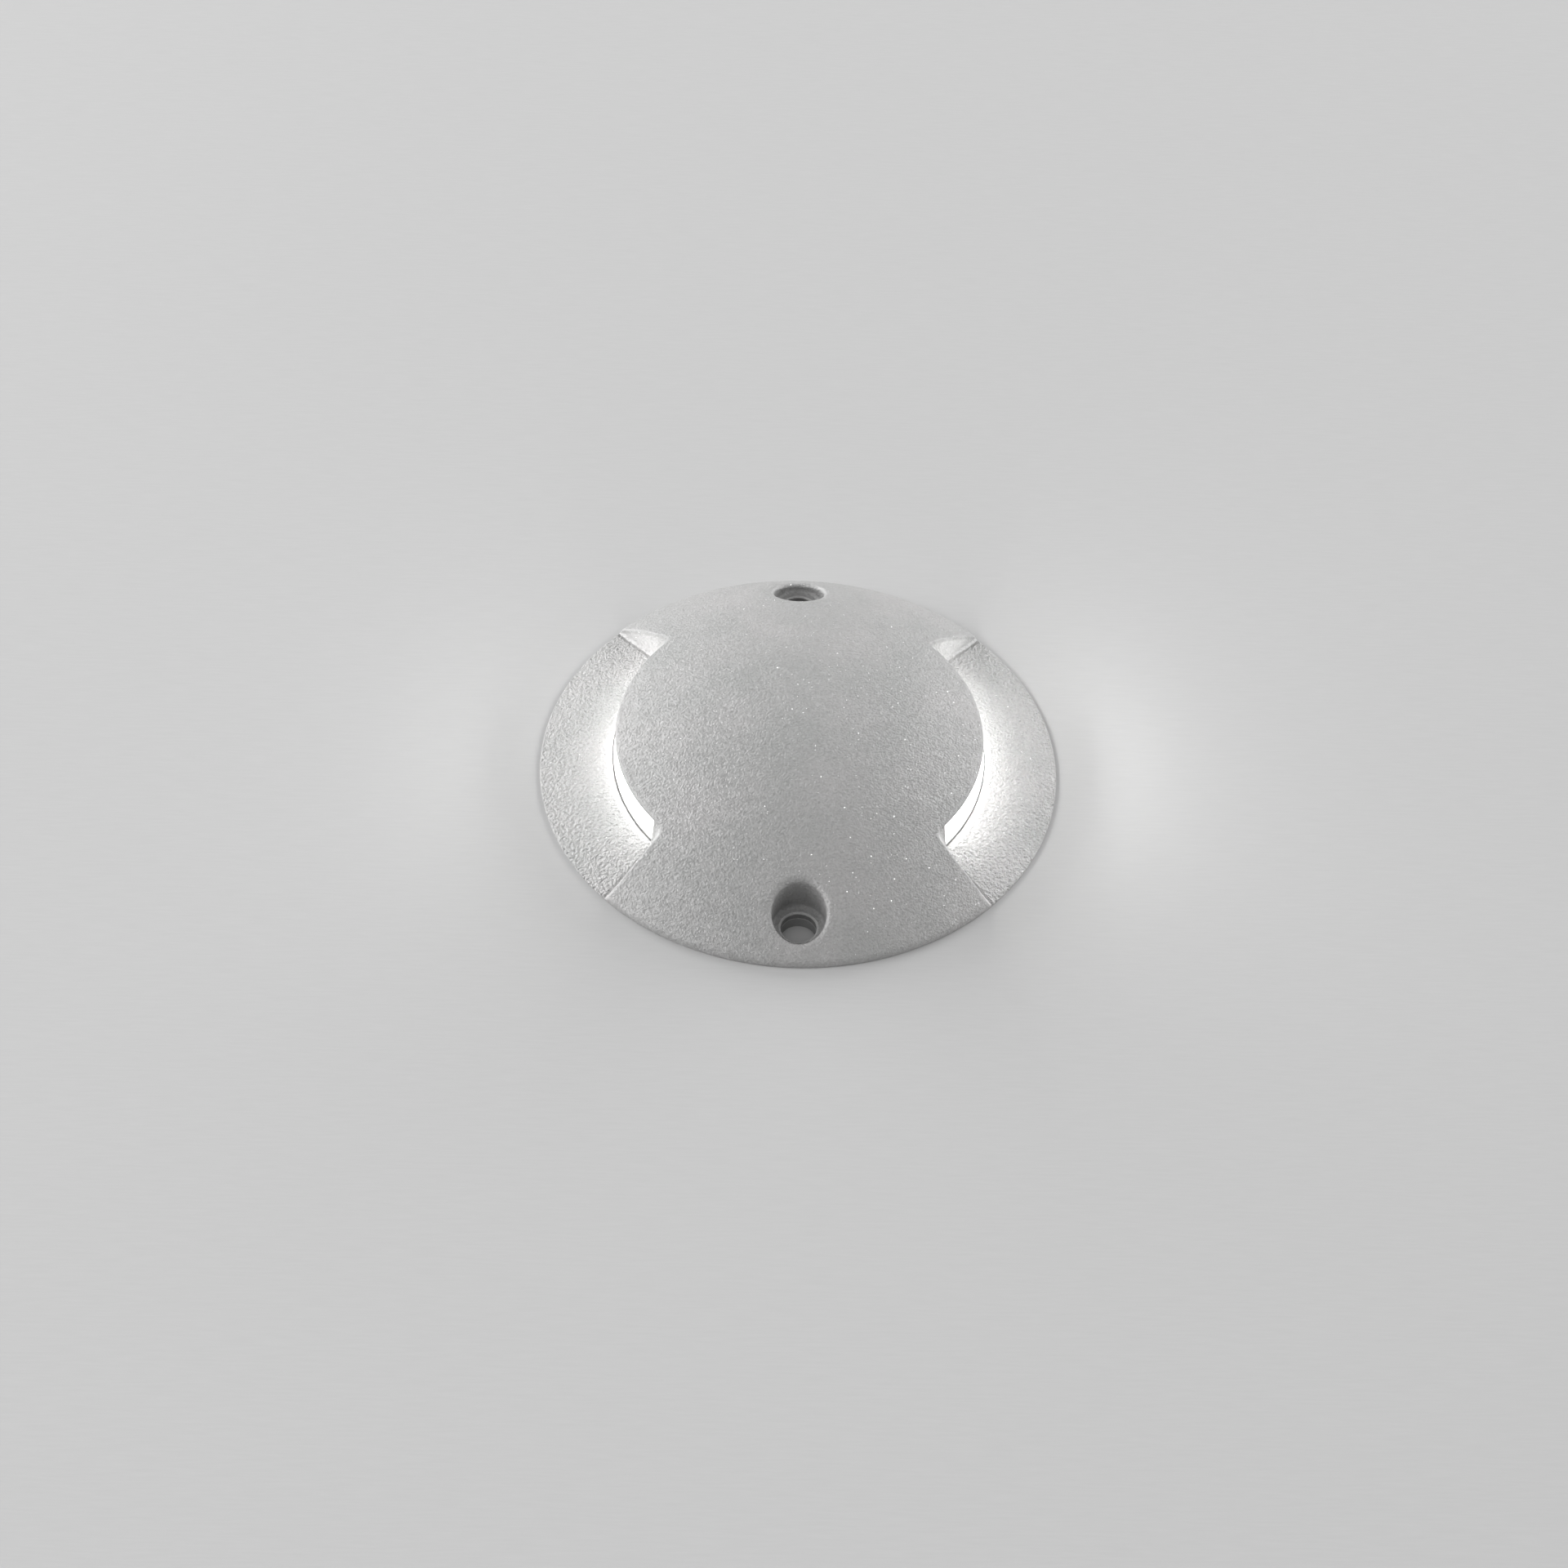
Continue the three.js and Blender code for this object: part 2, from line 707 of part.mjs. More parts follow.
// A strip that stands on its edge against the carrier's wall, facing +X.
function ledBoardSolid() {
  const inner = carrierHalfLength + seatGap;
  return block(
    [inner, -ledBoardLength / 2, carrierBottom],
    [inner + ledBoardThickness, ledBoardLength / 2, carrierBottom + ledBoardHeight],
  );
}

// One LED, lying flat with its light upwards: a corner cut marks one pole, a dish holds the chip.
function ledSolid() {
  const [x, y] = [ledLength / 2, ledWidth / 2];
  const outline = [
    new THREE.Vector2(-x, -y),
    new THREE.Vector2(x, -y),
    new THREE.Vector2(x, y - ledCorner),
    new THREE.Vector2(x - ledCorner, y),
    new THREE.Vector2(-x, y),
  ];
  const dish = frustum(
    ledWindowRadius - ledWindowDepth,
    ledWindowRadius,
    ledThickness - ledWindowDepth,
    ledThickness + ledWindowDepth,
    0,
    0,
    smallSegments,
  );
  return raised(outline, 0, ledThickness).subtract(dish);
}

// Driver board and what stands on it

function driverBoardSolid() {
  const outline = roundedRectangle(boardHalfLength, boardHalfWidth, boardCornerRadius);
  return pierced(outline, boardBottom, boardTop, [
    [boardHoleRadius, 0, 0],
    ...boardScrewPlaces.map(([x, y]) => [boardScrewRadius + screwGap, x, y]),
  ]);
}

const spacerSolid = () =>
  turnedRing(
    [
      [boardScrewRadius + screwGap, 0],
      [spacerRadius, 0],
      [spacerRadius, spacerHeight],
      [boardScrewRadius + screwGap, spacerHeight],
    ],
    smallSegments,
  );

const terminalWellPlaces = [-terminalPitch / 2, terminalPitch / 2];

// A two-pole screw terminal: a stepped block with a wire entry and a screw well for each pole.
function terminalBlockSolid() {
  const [x, y] = [terminalLength / 2, terminalWidth / 2];
  const body = new THREE.Shape([
    new THREE.Vector2(-y, 0),
    new THREE.Vector2(y, 0),
    new THREE.Vector2(y, terminalHeight),
    new THREE.Vector2(terminalStep - y, terminalHeight),
    new THREE.Vector2(-y, terminalHeight - terminalStep),
  ]);
  const geometry = new THREE.ExtrudeGeometry(body, { depth: terminalLength, bevelEnabled: false });
  geometry.translate(0, 0, -x).rotateX(Math.PI / 2).rotateZ(Math.PI / 2);
  const wells = terminalWellPlaces.map((place) =>
    rod(
      terminalWellRadius,
      terminalHeight - terminalWellDepth,
      terminalHeight + cutOverrun,
      place,
      terminalStep / 2,
      smallSegments,
    ),
  );
  const entries = terminalWellPlaces.map((place) => {
    const depth = terminalWidth / 2;
    const bore = new THREE.CylinderGeometry(terminalWireRadius, terminalWireRadius, depth, smallSegments);
    const height = (terminalHeight - terminalStep) / 2;
    return solidOf(bore.translate(place, -y, height));
  });
  return cut(solidOf(geometry), [...wells, ...entries]);
}

function terminalScrewSolid() {
  const screw = rod(terminalScrewRadius, 0, terminalScrewHeight, 0, 0, smallSegments);
  const reach = terminalScrewRadius + cutOverrun;
  const slot = block(
    [-reach, -terminalScrewSlot / 2, terminalScrewHeight - terminalScrewSlot],
    [reach, terminalScrewSlot / 2, terminalScrewHeight + cutOverrun],
  );
  return screw.subtract(slot);
}

// A drum core: two flanges and a wound waist.
const inductorSolid = () =>
  turned([
    [0, 0],
    [inductorRadius, 0],
    [inductorRadius, inductorFlange],
    [inductorWaist, inductorFlange],
    [inductorWaist, inductorHeight - inductorFlange],
    [inductorRadius, inductorHeight - inductorFlange],
    [inductorRadius, inductorHeight],
    [0, inductorHeight],
  ]);

// A can on a square foot, crimped above it.
function capacitorSolid() {
  const can = turned([
    [0, 0],
    [capacitorRadius, 0],
    [capacitorRadius, capacitorBase],
    [capacitorRadius - capacitorCrimp, capacitorBase + capacitorCrimp],
    [capacitorRadius, capacitorBase + 2 * capacitorCrimp],
    [capacitorRadius, capacitorHeight - capacitorCrimp],
    [capacitorRadius - capacitorCrimp, capacitorHeight],
    [0, capacitorHeight],
  ]);
  const foot = roundedRectangle(
    capacitorWidth / 2,
    capacitorWidth / 2,
    capacitorCrimp,
  );
  return can.add(raised(foot, 0, capacitorBase));
}

// A moulded package with drafted sides.
function packageSolid(length, width, height) {
  const middle = height / 2;
  const wide = roundedRectangle(length / 2, width / 2, chipBevel);
  const narrow = roundedRectangle(length / 2 - chipBevel, width / 2 - chipBevel, chipBevel);
  return lofted(narrow, 0, wide, middle).add(lofted(wide, middle, narrow, height));
}

// The flat lead from the driver board to the back of the +X LED board.
function leadGeometry() {
  const height = partSeat + leadThickness / 2;
  const start = boardHalfLength - leadOverlap;
  const end = carrierHalfLength;
  const path = new THREE.QuadraticBezierCurve3(
    new THREE.Vector3(start, 0, height),
    new THREE.Vector3((start + end) / 2, 0, height + leadBow),
    new THREE.Vector3(end, 0, height),
  );
  const section = roundedRectangle(leadWidth / 2, leadThickness / 2, leadCorner, leadCornerSegments);
  return new THREE.ExtrudeGeometry(new THREE.Shape(section), {
    steps: leadSteps,
    extrudePath: path,
  });
}

// Cable gland

const glandBottom = plateBottom + seatGap;
const glandSealTop = glandBottom + seatGap + glandSealHeight + seatGap;

const glandBodySolid = () =>
  turnedRing([
    [glandSealRadius + seatGap, glandBottom],
    [glandFlangeRadius, glandBottom],
    [glandFlangeRadius, glandBottom + glandFlangeThickness],
    [glandShankRadius, glandBottom + glandFlangeThickness],
    [glandShankRadius, glandBottom + glandHeight],
    [glandBoreRadius, glandBottom + glandHeight],
    [glandBoreRadius, glandSealTop],
    [glandSealRadius + seatGap, glandSealTop],
  ]);

const glandSealSolid = () =>
  turnedRing([
    [glandSealBoreRadius + glandSealChamfer, glandBottom + seatGap],
    [glandSealRadius, glandBottom + seatGap],
    [glandSealRadius, glandSealTop - seatGap],
    [glandSealBoreRadius, glandSealTop - seatGap],
    [glandSealBoreRadius, glandBottom + seatGap + glandSealChamfer],
  ]);

function glandNutSolid() {
  const bottom = plateTop + seatGap;
  const bore = [glandShankRadius + glandThreadGap, 0, 0];
  return pierced(hexagon(glandNutHalfFlats), bottom, bottom + glandNutHeight, [bore]);
}

// Finishes

const finish = (color, roughness, metalness = 0) =>
  new THREE.MeshStandardMaterial({ color, roughness, metalness, flatShading: true });
const castGrey = finish("#a9a9a8", 0.5, 0.35);
const steel = finish("#b9bbbd", 0.3, 0.9);
const plateGrey = finish("#9c9e9f", 0.4, 0.8);
const rubber = finish("#2b2c2d", 0.85);
const silicone = finish("#d7d7d2", 0.7);
const frosted = finish("#f4f4f0", 0.45);
frosted.emissive.set("#fffaf2");
const carrierMetal = finish("#c3c5c7", 0.45, 0.7);
const whiteBoard = finish("#eef0ee", 0.5);
const ledCase = finish("#f3e9b8", 0.4);
const greenBoard = finish("#2f6b45", 0.5);
const nylon = finish("#e6e2d6", 0.6);
const terminalGreen = finish("#4d8f63", 0.5);
const ferrite = finish("#3a3a3c", 0.7);
const canMetal = finish("#c9ccd0", 0.3, 0.8);
const epoxy = finish("#1e1f21", 0.55);
const glandNylon = finish("#3f4245", 0.6);
const leadSleeve = finish("#d9d9d9", 0.6);

// Assembly

const markerLight = new THREE.Group();

function place(parent, name, shape, material, position = [0, 0, 0]) {
  const geometry = shape.isBufferGeometry ? geometryOf(solidOf(shape)) : geometryOf(shape);
  const mesh = new THREE.Mesh(geometry, material);
  mesh.name = name;
  mesh.position.set(...position);
  parent.add(mesh);
  return mesh;
}

place(markerLight, "cover", coverSolid(), castGrey);
place(markerLight, "base_plate", basePlateSolid(), plateGrey);
place(markerLight, "base_seal", baseSealSolid(), rubber);
place(markerLight, "gland_body", glandBodySolid(), glandNylon);
place(markerLight, "gland_seal", glandSealSolid(), rubber);
place(markerLight, "gland_nut", glandNutSolid(), glandNylon);
place(markerLight, "led_carrier", carrierSolid(), carrierMetal);
place(markerLight, "driver_board", driverBoardSolid(), greenBoard);

const baseScrew = baseScrewSolid();
baseScrewPlaces.forEach(([x, y], i) => {
  place(markerLight, `base_screw_${i + 1}`, baseScrew, steel, [x, y, plateBottom + seatGap]);
});

const carrierScrewLength = carrierFloor + 2 * seatGap + carrierScrewBite;
const carrierScrew = panScrewSolid(
  carrierScrewRadius,
  carrierScrewHeadRadius,
  carrierScrewHeadHeight,
  carrierScrewLength,
  socketShare * carrierScrewRadius,
);
[-1, 1].forEach((side, i) => {
  const position = [side * carrierScrewPitch, 0, carrierFloorTop + seatGap];
  place(markerLight, `carrier_screw_${i + 1}`, carrierScrew, steel, position);
});

const boardScrewLength = partSeat - carrierBottom - seatGap;
const boardScrew = panScrewSolid(
  boardScrewRadius,
  boardScrewHeadRadius,
  boardScrewHeadHeight,
  boardScrewLength,
  socketShare * boardScrewRadius,
);
const spacer = spacerSolid();
boardScrewPlaces.forEach(([x, y], i) => {
  place(markerLight, `board_spacer_${i + 1}`, spacer, nylon, [x, y, spacerBottom]);
  place(markerLight, `board_screw_${i + 1}`, boardScrew, steel, [x, y, partSeat]);
});

place(markerLight, "terminal_block", terminalBlockSolid(), terminalGreen, [0, terminalY, partSeat]);
const terminalScrew = terminalScrewSolid();
terminalWellPlaces.forEach((x, i) => {
  const height = partSeat + terminalHeight - terminalWellDepth + seatGap;
  const position = [x, terminalY + terminalStep / 2, height];
  place(markerLight, `terminal_screw_${i + 1}`, terminalScrew, steel, position);
});
place(markerLight, "driver_inductor", inductorSolid(), ferrite, [0, inductorY, partSeat]);

// The other parts lie between the board's hole and its ends, beside the two leads
const chip = packageSolid(chipLength, chipWidth, chipHeight);
const rectifier = packageSolid(rectifierLength, rectifierWidth, rectifierHeight);
place(markerLight, "driver_capacitor", capacitorSolid(), canMetal, [capacitorX, -capacitorY, partSeat]);
place(markerLight, "driver_chip", chip, epoxy, [-chipX, -chipY, partSeat]);
place(markerLight, "bridge_rectifier", rectifier, epoxy, [-rectifierX, rectifierY, partSeat]);

// The two light sides are alike, turned half a turn from each other
const diffuser = diffuserSolid();
const diffuserGasket = diffuserGasketSolid();
const ledBoard = ledBoardSolid();
const led = ledSolid();
const lead = leadGeometry();
const ledFace = carrierHalfLength + seatGap + ledBoardThickness + seatGap;
["right", "left"].forEach((side, turn) => {
  const half = new THREE.Group();
  half.rotation.z = turn * Math.PI;
  place(half, `diffuser_${side}`, diffuser, frosted);
  place(half, `diffuser_gasket_${side}`, diffuserGasket, silicone);
  place(half, `led_board_${side}`, ledBoard, whiteBoard);
  place(half, `led_lead_${side}`, lead, leadSleeve);
  for (let i = 0; i < ledCount; i += 1) {
    const y = (i - (ledCount - 1) / 2) * ledPitch;
    const position = [ledFace, y, carrierBottom + ledBoardHeight / 2];
    place(half, `led_${side}_${i + 1}`, led, ledCase, position).rotation.y = Math.PI / 2;
  }
  markerLight.add(half);
});

export default markerLight;
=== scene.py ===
# A low round ground marker light with two lit side windows, dressed over its CAD frame.
# Sizes are in millimetres and become metres when a mesh is made. The frame's axes are the CAD's:
# +Z up, the windows face +X and -X, and the fixing holes lie at +Y and -Y.
import json
import math

import bpy
import numpy as np
from mathutils import Matrix, Vector


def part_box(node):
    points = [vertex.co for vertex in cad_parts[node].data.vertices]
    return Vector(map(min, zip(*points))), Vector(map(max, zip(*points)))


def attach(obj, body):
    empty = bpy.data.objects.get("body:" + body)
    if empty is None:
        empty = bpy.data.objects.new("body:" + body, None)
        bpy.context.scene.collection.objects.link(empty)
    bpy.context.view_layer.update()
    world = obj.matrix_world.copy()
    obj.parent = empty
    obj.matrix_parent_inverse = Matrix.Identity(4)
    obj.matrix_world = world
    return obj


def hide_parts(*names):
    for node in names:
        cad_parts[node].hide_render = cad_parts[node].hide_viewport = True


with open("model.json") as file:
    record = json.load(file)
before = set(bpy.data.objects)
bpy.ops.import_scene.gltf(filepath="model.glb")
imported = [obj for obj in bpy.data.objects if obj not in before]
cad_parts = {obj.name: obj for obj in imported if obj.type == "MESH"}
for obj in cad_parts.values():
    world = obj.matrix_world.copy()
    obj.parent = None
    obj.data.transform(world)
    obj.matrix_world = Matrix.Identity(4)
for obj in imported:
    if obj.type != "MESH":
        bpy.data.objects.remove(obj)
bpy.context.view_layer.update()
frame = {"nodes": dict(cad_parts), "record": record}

MM = 0.001


def frame_mm(node):
    """The lowest and highest corner of a CAD node in millimetres."""
    low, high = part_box(node)
    return Vector(low) / MM, Vector(high) / MM


# Cover casting. The rim and the crown come from the frame, the rest are the casting's sizes.
RIM_RADIUS = frame_mm("cover")[1].x
CROWN_HEIGHT = frame_mm("cover")[1].z
RIM_HEIGHT = 1.2
RIM_ROUND = 1.6
FOOT_ROUND = 0.25
SHELL_WALL = 2.4
CAVITY_RADIUS = 33.2
RECESS_RADIUS = 35.45
SEAT_HEIGHT = 2.15
DOME_RISE = CROWN_HEIGHT - RIM_HEIGHT
DOME_RADIUS = (RIM_RADIUS**2 + DOME_RISE**2) / (2 * DOME_RISE)
DOME_CENTRE = CROWN_HEIGHT - DOME_RADIUS
ROUND_CENTRE = (
    RIM_RADIUS - RIM_ROUND,
    DOME_CENTRE + math.sqrt((DOME_RADIUS - RIM_ROUND) ** 2 - (RIM_RADIUS - RIM_ROUND) ** 2),
)


def dome_height(radius):
    """How high the dome is at this distance from the axis."""
    return DOME_CENTRE + math.sqrt(DOME_RADIUS**2 - radius**2)


# Light pockets
POCKET_HALF_ANGLE = math.radians(44.4)
POCKET_TOP_RADIUS = 35.25
POCKET_FOOT_RADIUS = 36.0
POCKET_TOP = dome_height(POCKET_TOP_RADIUS)
POCKET_CORNER = 1.8
POCKET_FLOOR = 3.3
POCKET_FLOOR_RIM = 0.75
WALL_LEAN = (POCKET_FOOT_RADIUS - POCKET_TOP_RADIUS) / (POCKET_TOP - POCKET_FLOOR)
POCKET_SLOPE = (POCKET_FLOOR - POCKET_FLOOR_RIM) / (ROUND_CENTRE[0] - POCKET_FOOT_RADIUS)

# Each side wall of a pocket is a plane that leans outwards from a straight line close to the dome
SIDE_LEAN = 0.3
SIDE_TOP_SLOPE = (POCKET_TOP - RIM_HEIGHT) / (RIM_RADIUS - POCKET_TOP_RADIUS)
SIDE_TURN = math.atan(SIDE_LEAN * SIDE_TOP_SLOPE)
SIDE_ANGLE = POCKET_HALF_ANGLE + SIDE_TURN
SIDE_RISE = SIDE_LEAN * math.cos(SIDE_TURN)
SIDE_START = -POCKET_TOP_RADIUS * math.sin(SIDE_TURN) - SIDE_RISE * POCKET_TOP

# Window openings. A window ends where the pocket's inner wall meets the round of its corner.
LIP_THICKNESS = 0.8
LIP_STEP = 0.7
WINDOW_TOP = POCKET_TOP - LIP_THICKNESS
LIP_CEILING = WINDOW_TOP + LIP_STEP
WINDOW_HALF_ANGLE = SIDE_ANGLE + math.asin(
    (SIDE_START + SIDE_RISE * POCKET_FLOOR - POCKET_CORNER) / (POCKET_FOOT_RADIUS + POCKET_CORNER)
)
SEAM_INNER_RADIUS = 35.68
SEAM_OUTER_RADIUS = 36.02
SEAM_DEPTH = 0.55
FLANGE_INNER_RADIUS = 31.0
FLANGE_OUTER_RADIUS = 32.2
FLANGE_OVERLAP = 1.5

# Fixing holes. The counterbore's cut ends above the crown.
FIXING_PITCH = 41.5
COUNTERBORE_RADIUS = 5.0
COUNTERBORE_TOP_RADIUS = 5.2
COUNTERBORE_TOP = CROWN_HEIGHT + 1
FIXING_LEDGE = 1.5
COUNTERBORE_DRAFT = (COUNTERBORE_TOP_RADIUS - COUNTERBORE_RADIUS) / (COUNTERBORE_TOP - FIXING_LEDGE)
FIXING_HOLE_RADIUS = 3.3
FIXING_CHAMFER = 0.25

# Cores under the bridges
CORE_INNER_RADIUS = 37.65
CORE_OUTER_RADIUS = 46.2
CORE_WALL = 2.2
CORE_START = POCKET_HALF_ANGLE + math.asin(CORE_WALL / CORE_INNER_RADIUS)
CORE_END = math.pi / 2 - math.asin((COUNTERBORE_TOP_RADIUS + CORE_WALL) / FIXING_PITCH)

# Bosses for the base screws
BOSS_ANGLE = math.radians(65)
BOSS_PITCH = 27.0
BOSS_RADIUS = 3.2
BOSS_HALF_RIB = 1.2
BOSS_BOTTOM = 3.2
BOSS_HOLE_RADIUS = 1.75
BOSS_HOLE_TOP = 8.05

# Rounds that a casting of this size has
EDGE_ROUND = 0.3
MOUTH_ROUND = 1.0
POCKET_FILLET = 0.5
LEDGE_FILLET = 0.8
INNER_ROUND = 0.5
SMALL_ROUND = 0.15
SEAM_ROUND = 0.05

# Windows
DIFFUSER_INSET = 0.25
DIFFUSER_GAP = 0.2
DIFFUSER_ROUND = 0.25
DIFFUSER_BOTTOM = POCKET_FLOOR + DIFFUSER_GAP
DIFFUSER_TOP = WINDOW_TOP - DIFFUSER_GAP
DIFFUSER_HALF_ANGLE = WINDOW_HALF_ANGLE - DIFFUSER_GAP / FLANGE_INNER_RADIUS
FLANGE_HALF_ANGLE = WINDOW_HALF_ANGLE + FLANGE_OVERLAP / CAVITY_RADIUS
FLANGE_BOTTOM = frame_mm("diffuser_right")[0].z
FLANGE_TOP = frame_mm("diffuser_right")[1].z

# Base plate and its screws
PLATE_BOTTOM = frame_mm("base_plate")[0].z
PLATE_TOP = frame_mm("base_plate")[1].z
PLATE_RADIUS = frame_mm("base_plate")[1].x
FLANGE_THICKNESS = 1.0
PLATE_FLANGE_TOP = PLATE_BOTTOM + FLANGE_THICKNESS
SPIGOT_RADIUS = 30.8
PART_GAP = 0.2
SCREW_GAP = 0.25
SCREW_BOTTOM = PLATE_BOTTOM + PART_GAP
SCREW_HEAD_RADIUS = 2.8
SCREW_HEAD_HEIGHT = 1.5
SCREW_RADIUS = 1.5
SCREW_TOP = frame_mm("base_screw_1")[1].z
SCREW_SOCKET = 1.0
SCREW_TIP = 0.4
CARRIER_SCREW_PITCH = 17.0
CARRIER_SCREW_HOLE = 1.5
CARRIER_HOLE_BOTTOM = 1.1

# Cable gland and its seal
GLAND_BOTTOM = frame_mm("gland_body")[0].z
GLAND_TOP = frame_mm("gland_body")[1].z
GLAND_FLANGE_RADIUS = frame_mm("gland_body")[1].x
GLAND_FLANGE_TOP = GLAND_BOTTOM + FLANGE_THICKNESS
GLAND_SHANK_RADIUS = 6.0
GLAND_BORE_RADIUS = 3.6
GLAND_HOLE_RADIUS = 6.3
GLAND_ROUND = 0.3
GLAND_SEAL_SEAT = frame_mm("gland_seal")[1].x + PART_GAP
GLAND_SEAL_BOTTOM = frame_mm("gland_seal")[0].z
GLAND_SEAL_TOP = frame_mm("gland_seal")[1].z
GLAND_SEAL_BORE = 3.2
GLAND_SEAL_ROUND = 0.35

# Camera, fitted to the photograph in units of the rim's radius about the light's axis
CAMERA_ELEVATION = math.radians(48.261)
CAMERA_AZIMUTH = math.radians(-1.355)
CAMERA_DISTANCE = 12.3693
CAMERA_ROLL = math.radians(2.04)
CAMERA_AIM = (-0.0553, -0.0945)
CAMERA_FOCAL_PIXELS = 3924.985
CAMERA_CLIP_METRES = (0.01, 20)
PHOTO_WIDTH_PIXELS = 1920
SENSOR_WIDTH = 36.0


def place_camera():
    """The photograph's camera: it looks down at the light from the front."""
    back = Vector((
        math.sin(CAMERA_AZIMUTH) * math.cos(CAMERA_ELEVATION),
        -math.cos(CAMERA_AZIMUTH) * math.cos(CAMERA_ELEVATION),
        math.sin(CAMERA_ELEVATION),
    ))
    level = (-back).cross(Vector((0, 0, 1))).normalized()
    upright = level.cross(-back)
    cosine, sine = math.cos(CAMERA_ROLL), math.sin(CAMERA_ROLL)
    right = cosine * level + sine * upright
    up = -sine * level + cosine * upright
    radius = RIM_RADIUS * MM
    aim = Vector((*CAMERA_AIM, 0)) * radius
    place = aim + back * CAMERA_DISTANCE * radius
    data = bpy.data.cameras.new("photo_camera")
    data.sensor_fit = "HORIZONTAL"
    data.sensor_width = SENSOR_WIDTH
    data.lens = CAMERA_FOCAL_PIXELS / PHOTO_WIDTH_PIXELS * SENSOR_WIDTH
    data.clip_start, data.clip_end = CAMERA_CLIP_METRES
    camera = bpy.data.objects.new("photo_camera", data)
    camera.matrix_world = Matrix((
        (right.x, up.x, back.x, place.x),
        (right.y, up.y, back.y, place.y),
        (right.z, up.z, back.z, place.z),
        (0, 0, 0, 1),
    ))
    bpy.context.scene.collection.objects.link(camera)
    bpy.context.scene.camera = camera


# Shapes as distance fields in millimetres, negative inside

def both(a, b, radius=0.0):
    """Inside a and b, with the edge between them rounded."""
    sharp = np.maximum(a, b)
    if not radius:
        return sharp
    rounded = np.hypot(np.maximum(radius + a, 0), np.maximum(radius + b, 0))
    return np.minimum(-radius, sharp) + rounded


def either(a, b, radius=0.0):
    """Inside a or b, with a fillet where they meet."""
    return -both(-a, -b, radius)


def less(a, b, radius=0.0):
    """Inside a and outside b, with the edge of the cut rounded."""
    return both(a, -b, radius)


def beyond_angle(x, y, angle):
    """Distance past the upright plane through the axis at this angle, counted from +X."""
    return y * math.cos(angle) - x * math.sin(angle)


def wall_radius(z):
    """The pocket's inner wall, which leans inwards with height."""
    return POCKET_FOOT_RADIUS - WALL_LEAN * (z - POCKET_FLOOR)


def shell_field(r, z):
    """The dome over its hollow before anything is cut from it, and the dome's whole ball."""
    dome = np.hypot(r, z - DOME_CENTRE) - DOME_RADIUS
    out, up = r - ROUND_CENTRE[0], z - ROUND_CENTRE[1]
    on_round = (up > 0) & (up * ROUND_CENTRE[0] < out * (ROUND_CENTRE[1] - DOME_CENTRE))
    drum = np.where(up > 0, dome, np.maximum(dome, r - RIM_RADIUS))
    skin = np.where(on_round, np.hypot(out, up) - RIM_ROUND, drum)
    skin = both(skin, -z, FOOT_ROUND)
    well = both(r - CAVITY_RADIUS, z - LIP_CEILING, INNER_ROUND)
    vault = both(dome + SHELL_WALL, LIP_CEILING - INNER_ROUND - z)
    recess = both(r - RECESS_RADIUS, z - SEAT_HEIGHT, SMALL_ROUND)
    hollow = either(either(well, vault, INNER_ROUND), recess, SMALL_ROUND)
    return less(skin, hollow, SMALL_ROUND), dome


def boss_field(x, y, z, dome):
    """A screw boss with its rib to the wall, and its hole."""
    along = x * math.cos(BOSS_ANGLE) + y * math.sin(BOSS_ANGLE)
    across = beyond_angle(x, y, BOSS_ANGLE)
    from_axis = np.hypot(along - BOSS_PITCH, across)
    rib = both(np.abs(across) - BOSS_HALF_RIB, BOSS_PITCH - along)
    rib = both(rib, along - CAVITY_RADIUS - SHELL_WALL / 2)
    boss = either(from_axis - BOSS_RADIUS, rib, INNER_ROUND)
    boss = both(both(boss, BOSS_BOTTOM - z, SMALL_ROUND), dome + SHELL_WALL / 2)
    return boss, both(from_axis - BOSS_HOLE_RADIUS, z - BOSS_HOLE_TOP)


def pocket_field(x, y, r, z):
    """The cut-away sector in front of a window."""
    side = beyond_angle(x, y, SIDE_ANGLE) - SIDE_START - SIDE_RISE * z
    wall = wall_radius(z) - r
    floor = POCKET_FLOOR - POCKET_SLOPE * (r - POCKET_FOOT_RADIUS) - z
    side *= math.cos(math.atan(SIDE_RISE))
    wall *= math.cos(math.atan(WALL_LEAN))
    floor *= math.cos(math.atan(POCKET_SLOPE))
    return both(both(side, wall, POCKET_CORNER), floor, POCKET_FILLET)


def opening_field(x, y, r, z):
    """The window's way through the wall."""
    sides = both(beyond_angle(x, y, WINDOW_HALF_ANGLE), z - WINDOW_TOP, SMALL_ROUND)
    depth = both(FLANGE_INNER_RADIUS - r, r - POCKET_FOOT_RADIUS - EDGE_ROUND)
    return both(both(sides, POCKET_FLOOR - z, SMALL_ROUND), depth)


def seam_field(x, y, r, z):
    """The narrow joint in the pocket's floor at the window's foot."""
    ring = both(r - SEAM_OUTER_RADIUS, SEAM_INNER_RADIUS - r)
    depth = both(POCKET_FLOOR - SEAM_DEPTH - z, z - POCKET_FLOOR - SEAM_DEPTH)
    return both(both(ring, depth), beyond_angle(x, y, WINDOW_HALF_ANGLE))


def fixing_field(x, y, z):
    """The counterbore, and the hole through its ledge with its chamfer."""
    q = np.hypot(x, y - FIXING_PITCH)
    bore = q - COUNTERBORE_RADIUS - COUNTERBORE_DRAFT * (z - FIXING_LEDGE)
    counterbore = both(bore, FIXING_LEDGE - z, LEDGE_FILLET)
    cone = (q - FIXING_HOLE_RADIUS - (z - FIXING_LEDGE + FIXING_CHAMFER)) * math.sqrt(0.5)
    hole = either(q - FIXING_HOLE_RADIUS, both(cone, z - FIXING_LEDGE - SMALL_ROUND))
    return counterbore, hole


